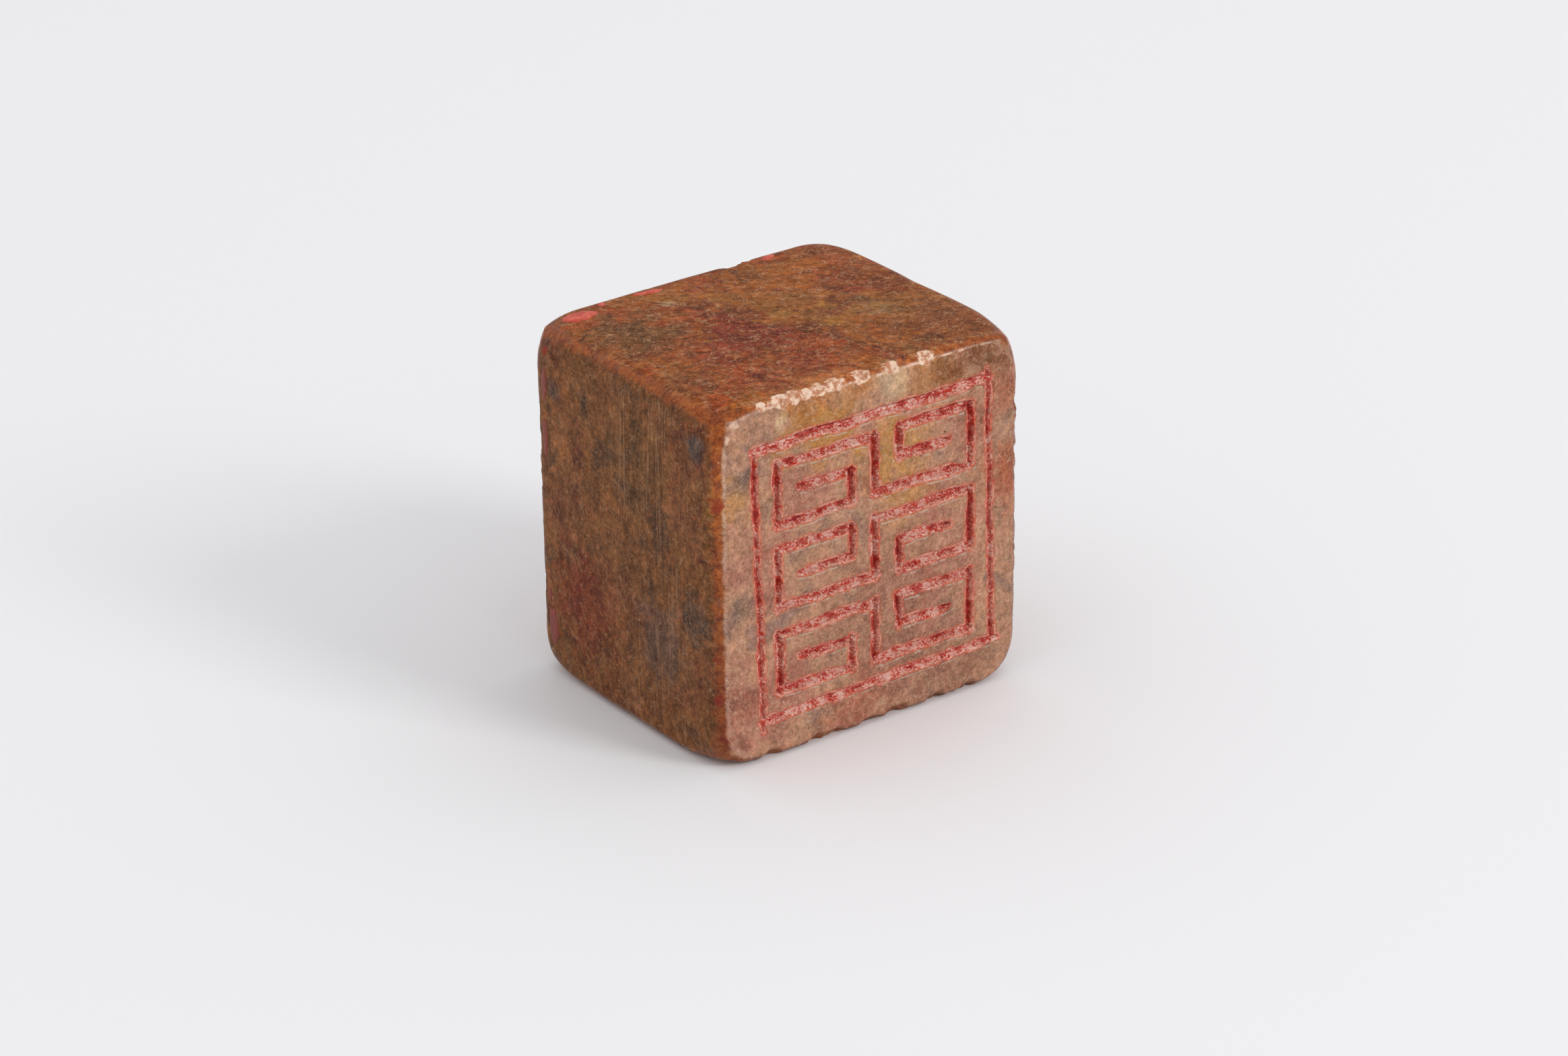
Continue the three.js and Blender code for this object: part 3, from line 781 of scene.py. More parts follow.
# %% [markdown]
# The tree itself. Its named inputs are the cord's width and thickness, the lumps on it, the
# voxel of the fusing volume, and the size and number of the dry crumbs scattered on top.

# %% Geometry Nodes for the cords
CORD_SIZES = (
    "Width", "Thickness", "Floor", "Lump size", "Lump height", "Voxel", "Crumb size", "Crumbs per m2",
)
RING_POINTS = 10
GRAINS_PER_M = 3200.0
FULL_TURNS = (6.28, 6.28, 6.28)


def cord_tree():
    """Builds the node tree that turns chains of edges into fused, crumbly cords."""
    tree = bpy.data.node_groups.new("paste_cord", "GeometryNodeTree")
    add = partial(add_node, tree)
    sockets = {"Paths": "Geometry", **dict.fromkeys(CORD_SIZES, "Float"), "Finish": "Material"}
    for name, kind in sockets.items():
        tree.interface.new_socket(name, in_out="INPUT", socket_type="NodeSocket" + kind)
    tree.interface.new_socket("Paste", in_out="OUTPUT", socket_type="NodeSocketGeometry")
    given = add("NodeGroupInput")
    width, thickness, floor, voxel = (given[name] for name in ("Width", "Thickness", "Floor", "Voxel"))
    place = add("GeometryNodeInputPosition")
    per_lump = add(OVER, 1.0, given["Lump size"])
    lump = add("ShaderNodeTexNoise", {"Vector": place, "Scale": per_lump, "Detail": 3.0})
    swell = add(RANGE, lump, 0.3, 0.7, 0.65, 1.2)
    tube = add("GeometryNodeCurveToMesh", {
        "Curve": add("GeometryNodeMeshToCurve", {"Mesh": given["Paths"]}),
        "Profile Curve": add("GeometryNodeCurvePrimitiveCircle", {"Resolution": RING_POINTS, "Radius": 0.5}),
        "Scale": add(TIMES, swell, width), "Fill Caps": True,
    })
    place_x, place_y, place_z = add(APART, place)
    over_floor = add(MINUS, place_y, floor)
    pressed = add(TIMES_PLUS, over_floor, add(OVER, thickness, width), floor)
    laid = add("ShaderNodeCombineXYZ", place_x, pressed, place_z)
    flat = add("GeometryNodeSetPosition", {"Geometry": tube, "Position": laid})
    volume = add("GeometryNodeMeshToVolume", {
        "Mesh": flat, "Voxel Size": voxel, "Interior Band Width": thickness,
    }, resolution_mode="VOXEL_SIZE")
    fused = add("GeometryNodeVolumeToMesh", {
        "Volume": volume, "Voxel Size": voxel, "Threshold": 0.1,
    }, resolution_mode="VOXEL_SIZE")
    grain = add("ShaderNodeTexNoise", {"Vector": place, "Scale": GRAINS_PER_M, "Detail": 2.0})
    rise = add(TIMES, add(MINUS, grain, 0.5), given["Lump height"])
    normal = add("GeometryNodeInputNormal")
    push = add(SCALED, {0: normal, "Scale": rise})
    lumpy = add("GeometryNodeSetPosition", {"Geometry": fused, "Offset": push})
    outward = add("FunctionNodeCompare", add(APART, normal)[1], -0.5, operation="LESS_THAN")
    spots = add("GeometryNodeDistributePointsOnFaces", {
        "Mesh": lumpy, "Selection": outward, "Density": given["Crumbs per m2"], "Seed": 7,
    })
    crumb = add("GeometryNodeMeshIcoSphere", {"Radius": given["Crumb size"], "Subdivisions": 1})
    sizes = add("FunctionNodeRandomValue", {2: 0.45, 3: 1.0, "Seed": 8}, data_type="FLOAT")[1]
    turns = add("FunctionNodeRandomValue", {1: FULL_TURNS, "Seed": 9}, data_type="FLOAT_VECTOR")
    crumbs = add("GeometryNodeInstanceOnPoints", {
        "Points": spots, "Instance": crumb, "Rotation": turns, "Scale": sizes,
    })
    both = add("GeometryNodeJoinGeometry", [crumbs, lumpy])
    plain = add("GeometryNodeRealizeInstances", both)
    add("NodeGroupOutput", add("GeometryNodeSetMaterial", {0: plain, "Material": given["Finish"]}))
    return tree


def set_inputs(modifier, values):
    """Sets a Geometry Nodes modifier's inputs through their identifiers."""
    for item in modifier.node_group.interface.items_tree:
        if item.in_out == "INPUT" and item.name in values:
            modifier[item.identifier] = values[item.name]


paste_tree = cord_tree()
dried_paste = bpy.data.materials.new("cinnabar_seal_paste_dried_in_cuts")
print("nodes in the cord tree:", len(paste_tree.nodes))

# %% [markdown]
# One piece for the frame and one for each row, where the solid model has its paste. The cord
# is as wide as the floor of the cut and about a quarter of a millimetre thick.

# %% Lay the cords
FRAME_CORD_WIDTH, FRET_CORD_WIDTH, CORD_THICKNESS = 0.36, 0.4, 0.24
LUMP_SIZE, LUMP_HEIGHT = 1.3, 0.05
VOXEL = 0.065
CRUMB_SIZE, CRUMBS_PER_MM2 = 0.035, 2.5
paste_lines = {"paste_in_frame": (frame_lines, FRAME_DEPTH, FRAME_CORD_WIDTH)}
for number, row in enumerate(fret_rows, start=1):
    paste_lines[f"paste_in_fret_row_{number}"] = (row, FRET_DEPTH, FRET_CORD_WIDTH)

paste_pieces = {}
first_number = 0
for node_name, (lines, depth, width) in paste_lines.items():
    cord = path_object("dried_" + node_name, lines, first_number, depth)
    first_number += len(lines)
    nodes_modifier = cord.modifiers.new("cord", "NODES")
    nodes_modifier.node_group = paste_tree
    set_inputs(nodes_modifier, {
        "Width": width * MM,
        "Thickness": CORD_THICKNESS * MM,
        "Floor": (-half_depth + depth) * MM,
        "Lump size": LUMP_SIZE * MM,
        "Lump height": LUMP_HEIGHT * MM,
        "Voxel": VOXEL * MM,
        "Crumb size": CRUMB_SIZE * MM,
        "Crumbs per m2": CRUMBS_PER_MM2 / MM ** 2,
        "Finish": dried_paste,
    })
    settle(cord)
    keep_marks(cord, cut_marks(mesh_points(cord)))
    paste_pieces[node_name] = cord
    print(cord.name, len(cord.data.polygons), "faces")

# %% [markdown]
# Crusts on the edges. Where a fingertip wiped the seal, paste was left on the two back edges
# and set hard. Each crust is a thin cake with a broken outline. Its points are dropped onto
# the finished stone, so it follows every hollow, and its top swells and dips by lumps. The
# tables give each crust's place on its side, its length and width, on the top its turn, and
# its thickness.

# %% Crust shapes
CAKE_RINGS, CAKE_STEPS, CAKE_CROWDING = 22, 72, 0.8
CAKE_ROOT, CAKE_SAME_PLACE = 0.05, 0.004
DROP_HEIGHT = 4
CRUSTS_ON_TOP = {
    "paste_blob_top_corner": (3.75, 3.0, 3.2, 1.9, -0.08, 0.17),
    "paste_dot_top_edge": (6.65, 1.9, 0.9, 0.6, 1.1, 0.1),
    "paste_streak_top_edge": (11.2, 2.15, 2.7, 0.8, -0.18, 0.1),
    "paste_smear_top_notch": (23.8, 1.95, 1.5, 0.8, 0.5, 0.09),
}
CRUSTS_ON_LEFT = {
    "paste_patch_upper": (26.7, 2.9, 0.8, 0.1),
    "paste_patch_middle": (21.9, 3.3, 0.75, 0.11),
    "paste_speck_lower": (7.4, 1.1, 0.55, 0.08),
    "paste_patch_lower": (4.6, 3.3, 1.4, 0.11),
}
LEFT_CRUST_BACK_GAP = 1.95
FIRST_TOP_SEED, FIRST_LEFT_SEED = 5, 15
stone_tree = BVHTree.FromObject(stone, bpy.context.evaluated_depsgraph_get())


def cake(name, middle, along, across, outward, length, width, thickness, seed):
    """A thin cake of paste that lies on the stone around one place."""
    angles = np.arange(CAKE_STEPS) * math.tau / CAKE_STEPS
    round_line = np.stack([np.cos(angles), np.sin(angles), np.zeros(CAKE_STEPS)], axis=1)
    ragged = 1 + 0.16 * lumps(round_line, 0.7, seed) + 0.1 * lumps(round_line, 0.22, seed + 1)
    tops, roots = [], []
    for share in np.linspace(0, 1, CAKE_RINGS) ** CAKE_CROWDING:
        for angle, line in zip(angles, ragged):
            step = along * math.cos(angle) * length / 2 * line * share
            step = step + across * math.sin(angle) * width / 2 * line * share
            origin = Vector((middle + step + outward * DROP_HEIGHT) * MM)
            spot = np.array(stone_tree.ray_cast(origin, Vector(-outward))[0]) / MM
            shifted = spot[None] + seed
            bumps = lumps(shifted, 0.5, seed)[0] * 0.5 + lumps(shifted, 0.2, seed + 2)[0] * 0.3
            rise = thickness * math.sqrt(max(0, 1 - share ** 3)) * (0.8 + 0.35 * bumps)
            tops.append(spot + outward * rise)
            roots.append(spot - outward * CAKE_ROOT)
    faces = []
    count = CAKE_RINGS * CAKE_STEPS
    for ring, k in itertools.product(range(CAKE_RINGS - 1), range(CAKE_STEPS)):
        a, b = ring * CAKE_STEPS + k, ring * CAKE_STEPS + (k + 1) % CAKE_STEPS
        faces.append([a, a + CAKE_STEPS, b + CAKE_STEPS, b])
        faces.append([count + b, count + b + CAKE_STEPS, count + a + CAKE_STEPS, count + a])
    rim = count - CAKE_STEPS
    for k in range(CAKE_STEPS):
        a, b = rim + k, rim + (k + 1) % CAKE_STEPS
        faces.append([a, count + a, count + b, b])
    piece = make_object(name, tops + roots, faces)
    mesh = bmesh.new()
    mesh.from_mesh(piece.data)
    bmesh.ops.remove_doubles(mesh, verts=mesh.verts, dist=CAKE_SAME_PLACE * MM)
    bmesh.ops.recalc_face_normals(mesh, faces=mesh.faces)
    mesh.to_mesh(piece.data)
    mesh.free()
    smooth(piece.data)
    return piece


crusts = {}
axis_x, axis_y, axis_z = np.eye(3)
for seed, (name, row) in enumerate(CRUSTS_ON_TOP.items(), start=FIRST_TOP_SEED):
    left, behind, length, width, tilt, thickness = row
    place = np.array([left - half_width, half_depth - behind, height])
    along = axis_x * math.cos(tilt) + axis_y * math.sin(tilt)
    across = axis_y * math.cos(tilt) - axis_x * math.sin(tilt)
    crusts[name] = cake("dried_" + name, place, along, across, axis_z, length, width, thickness, seed)
for seed, (name, row) in enumerate(CRUSTS_ON_LEFT.items(), start=FIRST_LEFT_SEED):
    level, length, width, thickness = row
    place = np.array([-half_width, half_depth - BACK_CROWN - LEFT_CRUST_BACK_GAP - width / 2, level])
    crusts[name] = cake("dried_" + name, place, axis_z, axis_y, -axis_x, length, width, thickness, seed)
print("crusts:", {name: len(piece.data.polygons) for name, piece in crusts.items()})

# %% [markdown]
# Colour. Every colour below is written as it looks on a screen, in hex, and turned to the
# linear values that light is added up in. Patterns are measured in millimetres: one node
# scales Object coordinates up by a thousand, so noise of size 2 has lumps of 2 mm.

# %% Pattern helpers
NOISE_LOW, NOISE_HIGH = 0.3, 0.7


def new_finish(material):
    """Empties a material. Returns its tree and Object coordinates in mm."""
    material.use_nodes = True
    tree = material.node_tree
    tree.nodes.clear()
    coordinates = add_node(tree, "ShaderNodeTexCoord")["Object"]
    in_mm = add_node(tree, SCALED, {0: coordinates, "Scale": 1 / MM})
    return tree, in_mm[0]


def end_finish(tree, relief, values):
    """Ends a material: the relief, in mm, becomes a bump, and the values go to its shader."""
    if relief is not None:
        bump = add_node(tree, BUMP, {"Height": relief, "Distance": MM, "Strength": 1.0})
        values = {**values, "Normal": bump}
    shader = add_node(tree, "ShaderNodeBsdfPrincipled", values)
    add_node(tree, "ShaderNodeOutputMaterial", shader)


def noise_in(tree, place, size, detail=3.0, rough=0.55, seed=0, warp=0.0, stretch=(1, 1, 1), turn=0):
    """Noise with lumps of a size in mm, drawn out along axes that are turned about z."""
    laid = add_node(tree, "ShaderNodeMapping", {
        "Vector": place, "Location": (seed * 13.1, seed * 7.7, seed * 3.3),
        "Rotation": (0, 0, math.radians(turn)), "Scale": stretch,
    }, vector_type="TEXTURE")
    return add_node(tree, "ShaderNodeTexNoise", {
        "Vector": laid, "Scale": 1 / size, "Detail": detail, "Roughness": rough, "Distortion": warp,
    })[0]


def colour_run(tree, value, stops):
    """Hex colours that melt into one another as a value grows, from (value, colour) stops."""
    colour = stops[0][1]
    for (low, _), (high, next_colour) in zip(stops[:-1], stops[1:]):
        colour = add_node(tree, MIX, add_node(tree, RANGE, value, low, high), colour, next_colour)
    return colour


def shade(tree, colour, value, darkest, lightest):
    """Multiplies a colour by a noise value that runs from darkest to lightest."""
    factor = add_node(tree, RANGE, value, NOISE_LOW, NOISE_HIGH, darkest, lightest)
    grey = add_node(tree, "ShaderNodeCombineColor", factor, factor, factor)
    return add_node(tree, MIX, 1.0, colour, grey, blend_type="MULTIPLY")


print("a middle brown is", [round(c, 3) for c in linear(0x8B563C)])

# %% [markdown]
# Soapstone, ground and worn. The rock is talc stained by iron: maroon, rust and ochre clouds,
# and tan where the face was rubbed clean. It is drawn from the largest pattern down. Which
# way the ground blank faces, kept on the mesh, tells the sides apart right up to their edges.

# %% Stone: sides
BORDER_RAG = 0.9
stone_finish = bpy.data.materials.new("soapstone_ground_and_worn_by_hand")
tree, spot = new_finish(stone_finish)
add = partial(add_node, tree)
noise = partial(noise_in, tree, spot)
spot_x, spot_y, spot_z = add(APART, spot)
blank_x, blank_y, upward = add(APART, add(MARK, attribute_name="ground_normal")["Vector"])
ragged = add(MINUS, noise(BORDER_RAG, detail=4.0), 0.5)
forward = add(TIMES, blank_y, -1.0)
leftward = add(TIMES, blank_x, -1.0)
on_front = add(SOFT_RANGE, add(TIMES_PLUS, ragged, 0.3, forward), 0.8, 0.98)
on_left = add(SOFT_RANGE, add(TIMES_PLUS, ragged, 0.5, leftward), 0.7, 0.97)
on_top = add(SOFT_RANGE, upward, 0.6, 0.95)
front_or_left = add(LARGER, on_front, on_left)
print("sides told apart by", len(tree.nodes), "nodes")

# %% [markdown]
# The clouds run from maroon through rust and brown to ochre, like the iron in them. The
# patches are those that this block happens to have: each is a soft ball of colour in the
# rock with a ragged border, given by its place in millimetres, a radius and a strength, so
# that it runs round the edges of the block as a real stain does. The tables leave out the
# coordinate that all patches of one side share.

# %% Stone: clouds and patches
CLOUD_SIZE, BORDER_SIZE = 6.5, 1.9
BED_TURN = -36
RUST_RUN = [(0.36, 0x682616), (0.44, 0x92421B), (0.51, 0x7E401D), (0.58, 0x9A541E), (0.66, 0x6C3B19)]
UMBER_RUN = [(0.34, 0x572C1F), (0.45, 0x72462D), (0.55, 0x7A4D2C), (0.66, 0x543A2A)]
TAN_RUN = [(0.34, 0x955D4C), (0.45, 0xA77360), (0.55, 0xAE8064), (0.66, 0x8E6C5E)]
OCHRE, GOLD, MAROON, SMOKE, UMBER, BROWN = 0xB07C3A, 0xB67E2A, 0x70271B, 0x4A4442, 0x8E6250, 0x6E3A20
GREY_GREEN, OLIVE, BRICK, PALE, RUSSET = 0x86704A, 0x5E4223, 0x9A4D33, 0xCDB08A, 0x8C5630
FRONT_AT, TOP_AT, LEFT_AT = -13.4, 32.0, -15.8
FRONT_PATCHES = [
    (OCHRE, -5.0, 29.4, 4.6, 0.85), (OCHRE, 6.0, 29.8, 3.4, 0.5), (OCHRE, 2.2, 24.7, 3.6, 0.7),
    (OCHRE, 3.2, 19.5, 2.8, 0.55), (OCHRE, -14.0, 24.0, 2.2, 0.5), (PALE, -9.1, 29.8, 0.9, 0.6),
    (PALE, 2.4, 30.3, 1.8, 0.5), (PALE, -3.5, 30.6, 1.5, 0.4), (SMOKE, -12.5, 25.7, 1.3, 0.45),
    (SMOKE, -10.8, 22.2, 1.0, 0.4), (SMOKE, 7.5, 8.6, 1.1, 0.6), (SMOKE, -4.9, 19.3, 1.3, 0.4),
    (SMOKE, -12.7, 14.8, 1.6, 0.5), (OLIVE, 11.6, 29.6, 1.8, 0.45), (UMBER, 1.0, 10.0, 8.0, 0.6),
    (UMBER, 6.5, 3.0, 6.0, 0.6), (BRICK, 14.4, 19.0, 3.8, 0.75), (BRICK, -2.0, 2.0, 3.5, 0.4),
    (BRICK, 14.0, 26.5, 2.6, 0.55),
]
TOP_PATCHES = [
    (MAROON, -4.0, -1.8, 4.6, 0.85), (MAROON, -9.8, -4.6, 2.8, 0.5), (MAROON, -3.4, -8.2, 2.6, 0.6),
    (MAROON, 10.8, 2.2, 3.6, 0.4), (BRICK, -5.0, -12.2, 4.5, 0.5), (BROWN, 11.5, -9.5, 7.0, 0.8),
    (BROWN, 12.5, 3.0, 4.0, 0.3), (OLIVE, -10.8, 4.5, 4.6, 0.75), (OLIVE, -13.0, -6.0, 3.0, 0.4),
    (GOLD, 1.2, 0.3, 1.3, 0.55), (GOLD, 3.4, -3.0, 1.3, 0.5), (GOLD, 5.2, -0.2, 0.9, 0.5),
    (GREY_GREEN, 8.2, -2.8, 2.4, 0.55), (PALE, -4.8, 8.2, 0.7, 0.6),
]
LEFT_PATCHES = [
    (RUSSET, 7.8, 27.8, 1.6, 0.7), (RUSSET, 8.2, 22.0, 1.5, 0.6), (RUSSET, 1.5, 19.0, 2.5, 0.4),
    (MAROON, 5.0, 8.0, 5.5, 0.6), (SMOKE, -5.5, 9.0, 4.0, 0.55), (OLIVE, -2.0, 24.0, 5.0, 0.4),
    (SMOKE, -10.7, 28.4, 1.4, 0.85), (SMOKE, -10.0, 12.8, 2.2, 0.6), (SMOKE, 9.4, 26.6, 1.1, 0.5),
]
patches = [(colour, (x, FRONT_AT, z), *rest) for colour, x, z, *rest in FRONT_PATCHES]
patches += [(colour, (x, y, TOP_AT), *rest) for colour, x, y, *rest in TOP_PATCHES]
patches += [(colour, (LEFT_AT, y, z), *rest) for colour, y, z, *rest in LEFT_PATCHES]

clouds = noise(CLOUD_SIZE, detail=6.0, rough=0.66, seed=1, warp=0.6)
top_and_back, left_side, front_side = (
    colour_run(tree, clouds, run) for run in (RUST_RUN, UMBER_RUN, TAN_RUN)
)
stone_colour = add(MIX, on_front, add(MIX, on_left, top_and_back, left_side), front_side)
border = add(TIMES_PLUS, noise(BORDER_SIZE, detail=6.0, rough=0.65, seed=4), 2.6, -1.3)
for colour, centre, radius, strength in patches:
    away = add(APART_BY, spot, centre)["Value"]
    radii_away = add(TIMES_PLUS, away, 1 / radius, border)
    share = add(SOFT_RANGE, radii_away, 0.3, 1.25, strength, 0.0)
    stone_colour = add(MIX, share, stone_colour, colour)
print("clouds and", len(patches), "patches:", len(tree.nodes), "nodes")

# %% [markdown]
# The veins. A thin dark seam crosses the top in a slow bend, and a fainter, straight one
# runs to the right of it. The rock between the two is olive brown. A Float Curve gives the
# first seam's place across the block for each place from back to front.

# %% Stone: veins
VEIN = [(-13.3, 3.9), (-6.3, 2.0), (-3.5, 0.4), (-1.0, -1.2), (3.6, -2.8), (9.0, -5.6), (13.3, -8.5)]
SECOND_VEIN_AT, SECOND_VEIN_SLOPE = 10.0, 1.33
VEIN_DRIFT, DRIFT_SIZE = 0.9, 1.5
OLIVE_RUN = [(0.4, 0x6E4420), (0.48, 0x96682C), (0.54, 0x8A5824), (0.62, 0x76431F)]
block_y = add(RANGE, spot_y, -half_depth, half_depth)
bend = add("ShaderNodeFloatCurve", {"Value": block_y})[0].node
bend_points = bend.mapping.curves[0].points
across_block = [(x + half_width) / (2 * half_width) for _, x in VEIN]
for (y, _), share in zip(VEIN[1:-1], across_block[1:-1]):
    bend_points.new((y + half_depth) / (2 * half_depth), share)
bend_points[0].location = (0, across_block[0])
bend_points[len(bend_points) - 1].location = (1, across_block[-1])
bend.mapping.update()
vein_x = add(RANGE, bend.outputs, 0, 1, -half_width, half_width)
second_x = add(TIMES_PLUS, spot_y, -SECOND_VEIN_SLOPE, SECOND_VEIN_AT)
drift = noise(DRIFT_SIZE, detail=5.0, rough=0.65, seed=5)
drifted_x = add(PLUS, spot_x, add(TIMES_PLUS, drift, VEIN_DRIFT, -VEIN_DRIFT / 2))
past_first, past_second = (add(MINUS, drifted_x, seam_x) for seam_x in (vein_x, second_x))
between = add(RANGE, past_first, -0.05, 0.25)
olive_limits = (
    add(SOFT_RANGE, past_second, 0.6, -1.2, 0.0, 0.45),
    add(RANGE, spot_y, -9.0, -3.0, 0.15, 1.0),
    on_top,
)
for limit in olive_limits:
    between = add(TIMES, between, limit)
stone_colour = add(MIX, between, stone_colour, colour_run(tree, clouds, OLIVE_RUN))
print("vein points:", len(bend_points))

# %% [markdown]
# Four finer noises, all drawn out along the bed of the rock, break up the clouds. A mottle of
# two millimetres and streaks under one millimetre lighten and darken the colour, less on the
# rubbed front. A felt of quarter-millimetre grains does so everywhere, and the last one puts
# pale and dark specks on it. The dark line of each seam is drawn over them.

# %% Stone: streaks and felt
MOTTLE_SIZE, STREAK_SIZE, SPECK_SIZE, FELT_SIZE = 2.2, 0.75, 0.55, 0.24
SEAM_COLOUR = 0x35231A
bedded = partial(noise, turn=BED_TURN)
mottle = bedded(MOTTLE_SIZE, detail=8.0, rough=0.78, seed=23, warp=0.15, stretch=(1.25, 1.0, 1.1))
streaks = bedded(STREAK_SIZE, detail=7.0, rough=0.8, seed=2, warp=0.15, stretch=(1.3, 0.9, 1.2))
felt = bedded(FELT_SIZE, detail=4.0, rough=0.75, seed=3, warp=0.3, stretch=(1.2, 0.9, 1.1))
specks = bedded(SPECK_SIZE, detail=5.0, rough=0.8, seed=26, warp=0.2, stretch=(1.3, 0.9, 1.1))
streaked = shade(tree, shade(tree, stone_colour, mottle, 0.4, 1.6), streaks, 0.4, 1.65)
stone_colour = add(MIX, add(TIMES, on_front, 0.5), streaked, stone_colour)
stone_colour = shade(tree, stone_colour, felt, 0.6, 1.42)

speck_share = add(RANGE, front_or_left, 0.0, 1.0, 0.7, 0.4)
pale_specks = add(TIMES, add(SOFT_RANGE, specks, 0.55, 0.62), speck_share)
dark_specks = add(TIMES, add(SOFT_RANGE, specks, 0.44, 0.37), speck_share)
seam_line, faint_line = (
    add(SOFT_RANGE, add(SIZE, past_seam), 0.03, width, strength, 0.0)
    for past_seam, width, strength in ((past_first, 0.17, 0.8), (past_second, 0.14, 0.5))
)
broken = add(SOFT_RANGE, noise(1.4, seed=6), 0.35, 0.6, 0.2, 1.0)
seams = add(TIMES, add(LARGER, seam_line, faint_line), add(TIMES, broken, on_top))
speck_layers = (
    (pale_specks, add(MIX, on_front, 0xB0703F, 0xC29A7A)),
    (dark_specks, add(MIX, on_front, 0x4A2413, 0x6E4C3C)),
    (seams, SEAM_COLOUR),
)
for share, colour in speck_layers:
    stone_colour = add(MIX, share, stone_colour, colour)
print("streaks laid:", len(tree.nodes), "nodes")

# %% [markdown]
# The fine grain: pale hair-fine flecks, which are cleaved talc, tiny white glints, and dark
# grains of ore. The flecks are the thin borders between the cells of a Voronoi pattern, kept
# only where a second noise is high, so they come in drifts. In the tables, flecks have cells
# per millimetre, width, strength and seed, and grains cells, radius, share, colour and seed.

# %% Stone: flecks and grains
FLECKS = [(1.0, 0.08, 0.85, 1), (1.9, 0.1, 0.75, 2)]
GRAINS = [(0.5, 0.2, 0.22, 0x34221F, 1), (1.2, 0.12, 0.16, 0x422824, 2), (0.42, 0.1, 0.22, 0xF0E4D4, 3)]
WARP_SCALE, WARP_BY = 1.6, (2.2, 2.2, 2.2)
GRAIN_STRENGTH = 0.75
warped = add("ShaderNodeTexNoise", {"Vector": spot, "Scale": WARP_SCALE, "Detail": 3.0})[1]
shifted = add(MOVED_BY, warped, WARP_BY, spot)
fleck_colour = add(MIX, on_front, 0xC0926C, 0xD2B090)
fewer_flecks = add(RANGE, front_or_left, 0.0, 1.0, 1.0, 0.5)
for cells_per_mm, hair_width, strength, seed in FLECKS:
    laid = add("ShaderNodeMapping", {
        "Vector": shifted, "Location": (seed * 3.1, 0, 0), "Rotation": (0, 0, math.radians(BED_TURN)),
        "Scale": (1.5, 0.8, 1.2),
    }, vector_type="TEXTURE")
    net = add("ShaderNodeTexVoronoi", {"Vector": laid, "Scale": cells_per_mm}, feature="DISTANCE_TO_EDGE")
    drifts = add(SOFT_RANGE, noise(0.9, detail=6.0, rough=0.85, seed=6 + seed), 0.5, 0.58)
    hairs = add(TIMES, add(SOFT_RANGE, net, 0.0, hair_width, strength, 0.0), drifts)
    stone_colour = add(MIX, add(TIMES, hairs, fewer_flecks), stone_colour, fleck_colour)
for cells_per_mm, radius, share_of_cells, colour, seed in GRAINS:
    moved = add("ShaderNodeMapping", {"Vector": shifted, "Location": (seed * 5.3, seed * 9.1, 0)})
    cells = add("ShaderNodeTexVoronoi", {"Vector": moved, "Scale": cells_per_mm})
    chosen = add(APART, cells["Color"])
    grain_size = add(RANGE, chosen, 1 - share_of_cells, 1.0, 0.0, radius * cells_per_mm)
    grain = add(LESS, cells["Distance"], grain_size)
    stone_colour = add(MIX, add(TIMES, grain, GRAIN_STRENGTH), stone_colour, colour)
print("stone nodes so far:", len(tree.nodes))

# %% [markdown]
# Wear. Handling has rubbed the rounded edges to a warm rust, darker towards the foot. A pale crest line
# borders the carved face: partly bruised talc, partly a painted highlight, which fades to the right along the
# top and downwards along the left edge. Fingers left smears of old paste on the left edges, each given by its
# colour, place and radius.

# %% Stone: worn edges and painted crest highlight
RUSTY_RUN = [(0.38, 0x6A3018), (0.48, 0x95481F), (0.58, 0xB0642E)]
FOOT_COLOUR, BRUISE_AND_HIGHLIGHT_COLOUR = 0x4A2418, 0xE0BCA6
SMEARS = [
    (0x8E2A1C, (-15.0, -12.7, 23.9), 0.9),
    (0x7E2218, (-15.2, -12.5, 10.3), 0.5),
    (0x85241A, (-15.1, -12.7, 6.6), 0.7),
    (0x6E1F18, (-15.0, -12.9, 3.2), 0.6),
    (0x9A2A1E, (-15.6, 10.6, 29.7), 0.5),
]
size_x, size_y, size_z = (add(SIZE, part) for part in (blank_x, blank_y, upward))
widest = add(LARGER, size_x, add(LARGER, size_y, size_z))
on_edge = add(SOFT_RANGE, add(TIMES_PLUS, ragged, 0.4, widest), 0.8, 0.98, 0.85, 0.0)
rubbed = add(TIMES, on_edge, add(SOFT_RANGE, forward, 0.8, 0.93, 1.0, 0.0))
worn_rust = shade(tree, colour_run(tree, streaks, RUSTY_RUN), felt, 0.65, 1.35)
low_part = add(SOFT_RANGE, spot_z, 22.0, 8.0, 0.0, 0.4)
stone_colour = add(MIX, rubbed, stone_colour, add(MIX, low_part, worn_rust, FOOT_COLOUR))

# The pale crest is bruised talc and a painted highlight on the edges of the carved face.
facing_front = add(TIMES_PLUS, ragged, 0.1, forward)
bruise_and_highlight_end = add(SOFT_RANGE, facing_front, 0.95, 0.975, 1.0, 0.0)
bruise_and_highlight = add(TIMES, add(SOFT_RANGE, facing_front, 0.85, 0.92), bruise_and_highlight_end)
less_to_right = add(RANGE, spot_x, 9.0, 14.0, 1.0, 0.2)
more_upwards = add(RANGE, spot_z, 15.0, 29.0, 0.25, 0.7)
top_share = add(TIMES, add(RANGE, upward, 0.02, 0.12), less_to_right)
left_share = add(TIMES, add(RANGE, leftward, 0.02, 0.12), more_upwards)
bruise_and_highlight_broken = add(SOFT_RANGE, noise(0.9, detail=5.0, rough=0.7, seed=15), 0.4, 0.58, 0.05, 0.9)
bruise_and_highlight = add(TIMES, bruise_and_highlight, add(LARGER, top_share, left_share))
stone_colour = add(MIX, add(TIMES, bruise_and_highlight, bruise_and_highlight_broken), stone_colour, BRUISE_AND_HIGHLIGHT_COLOUR)
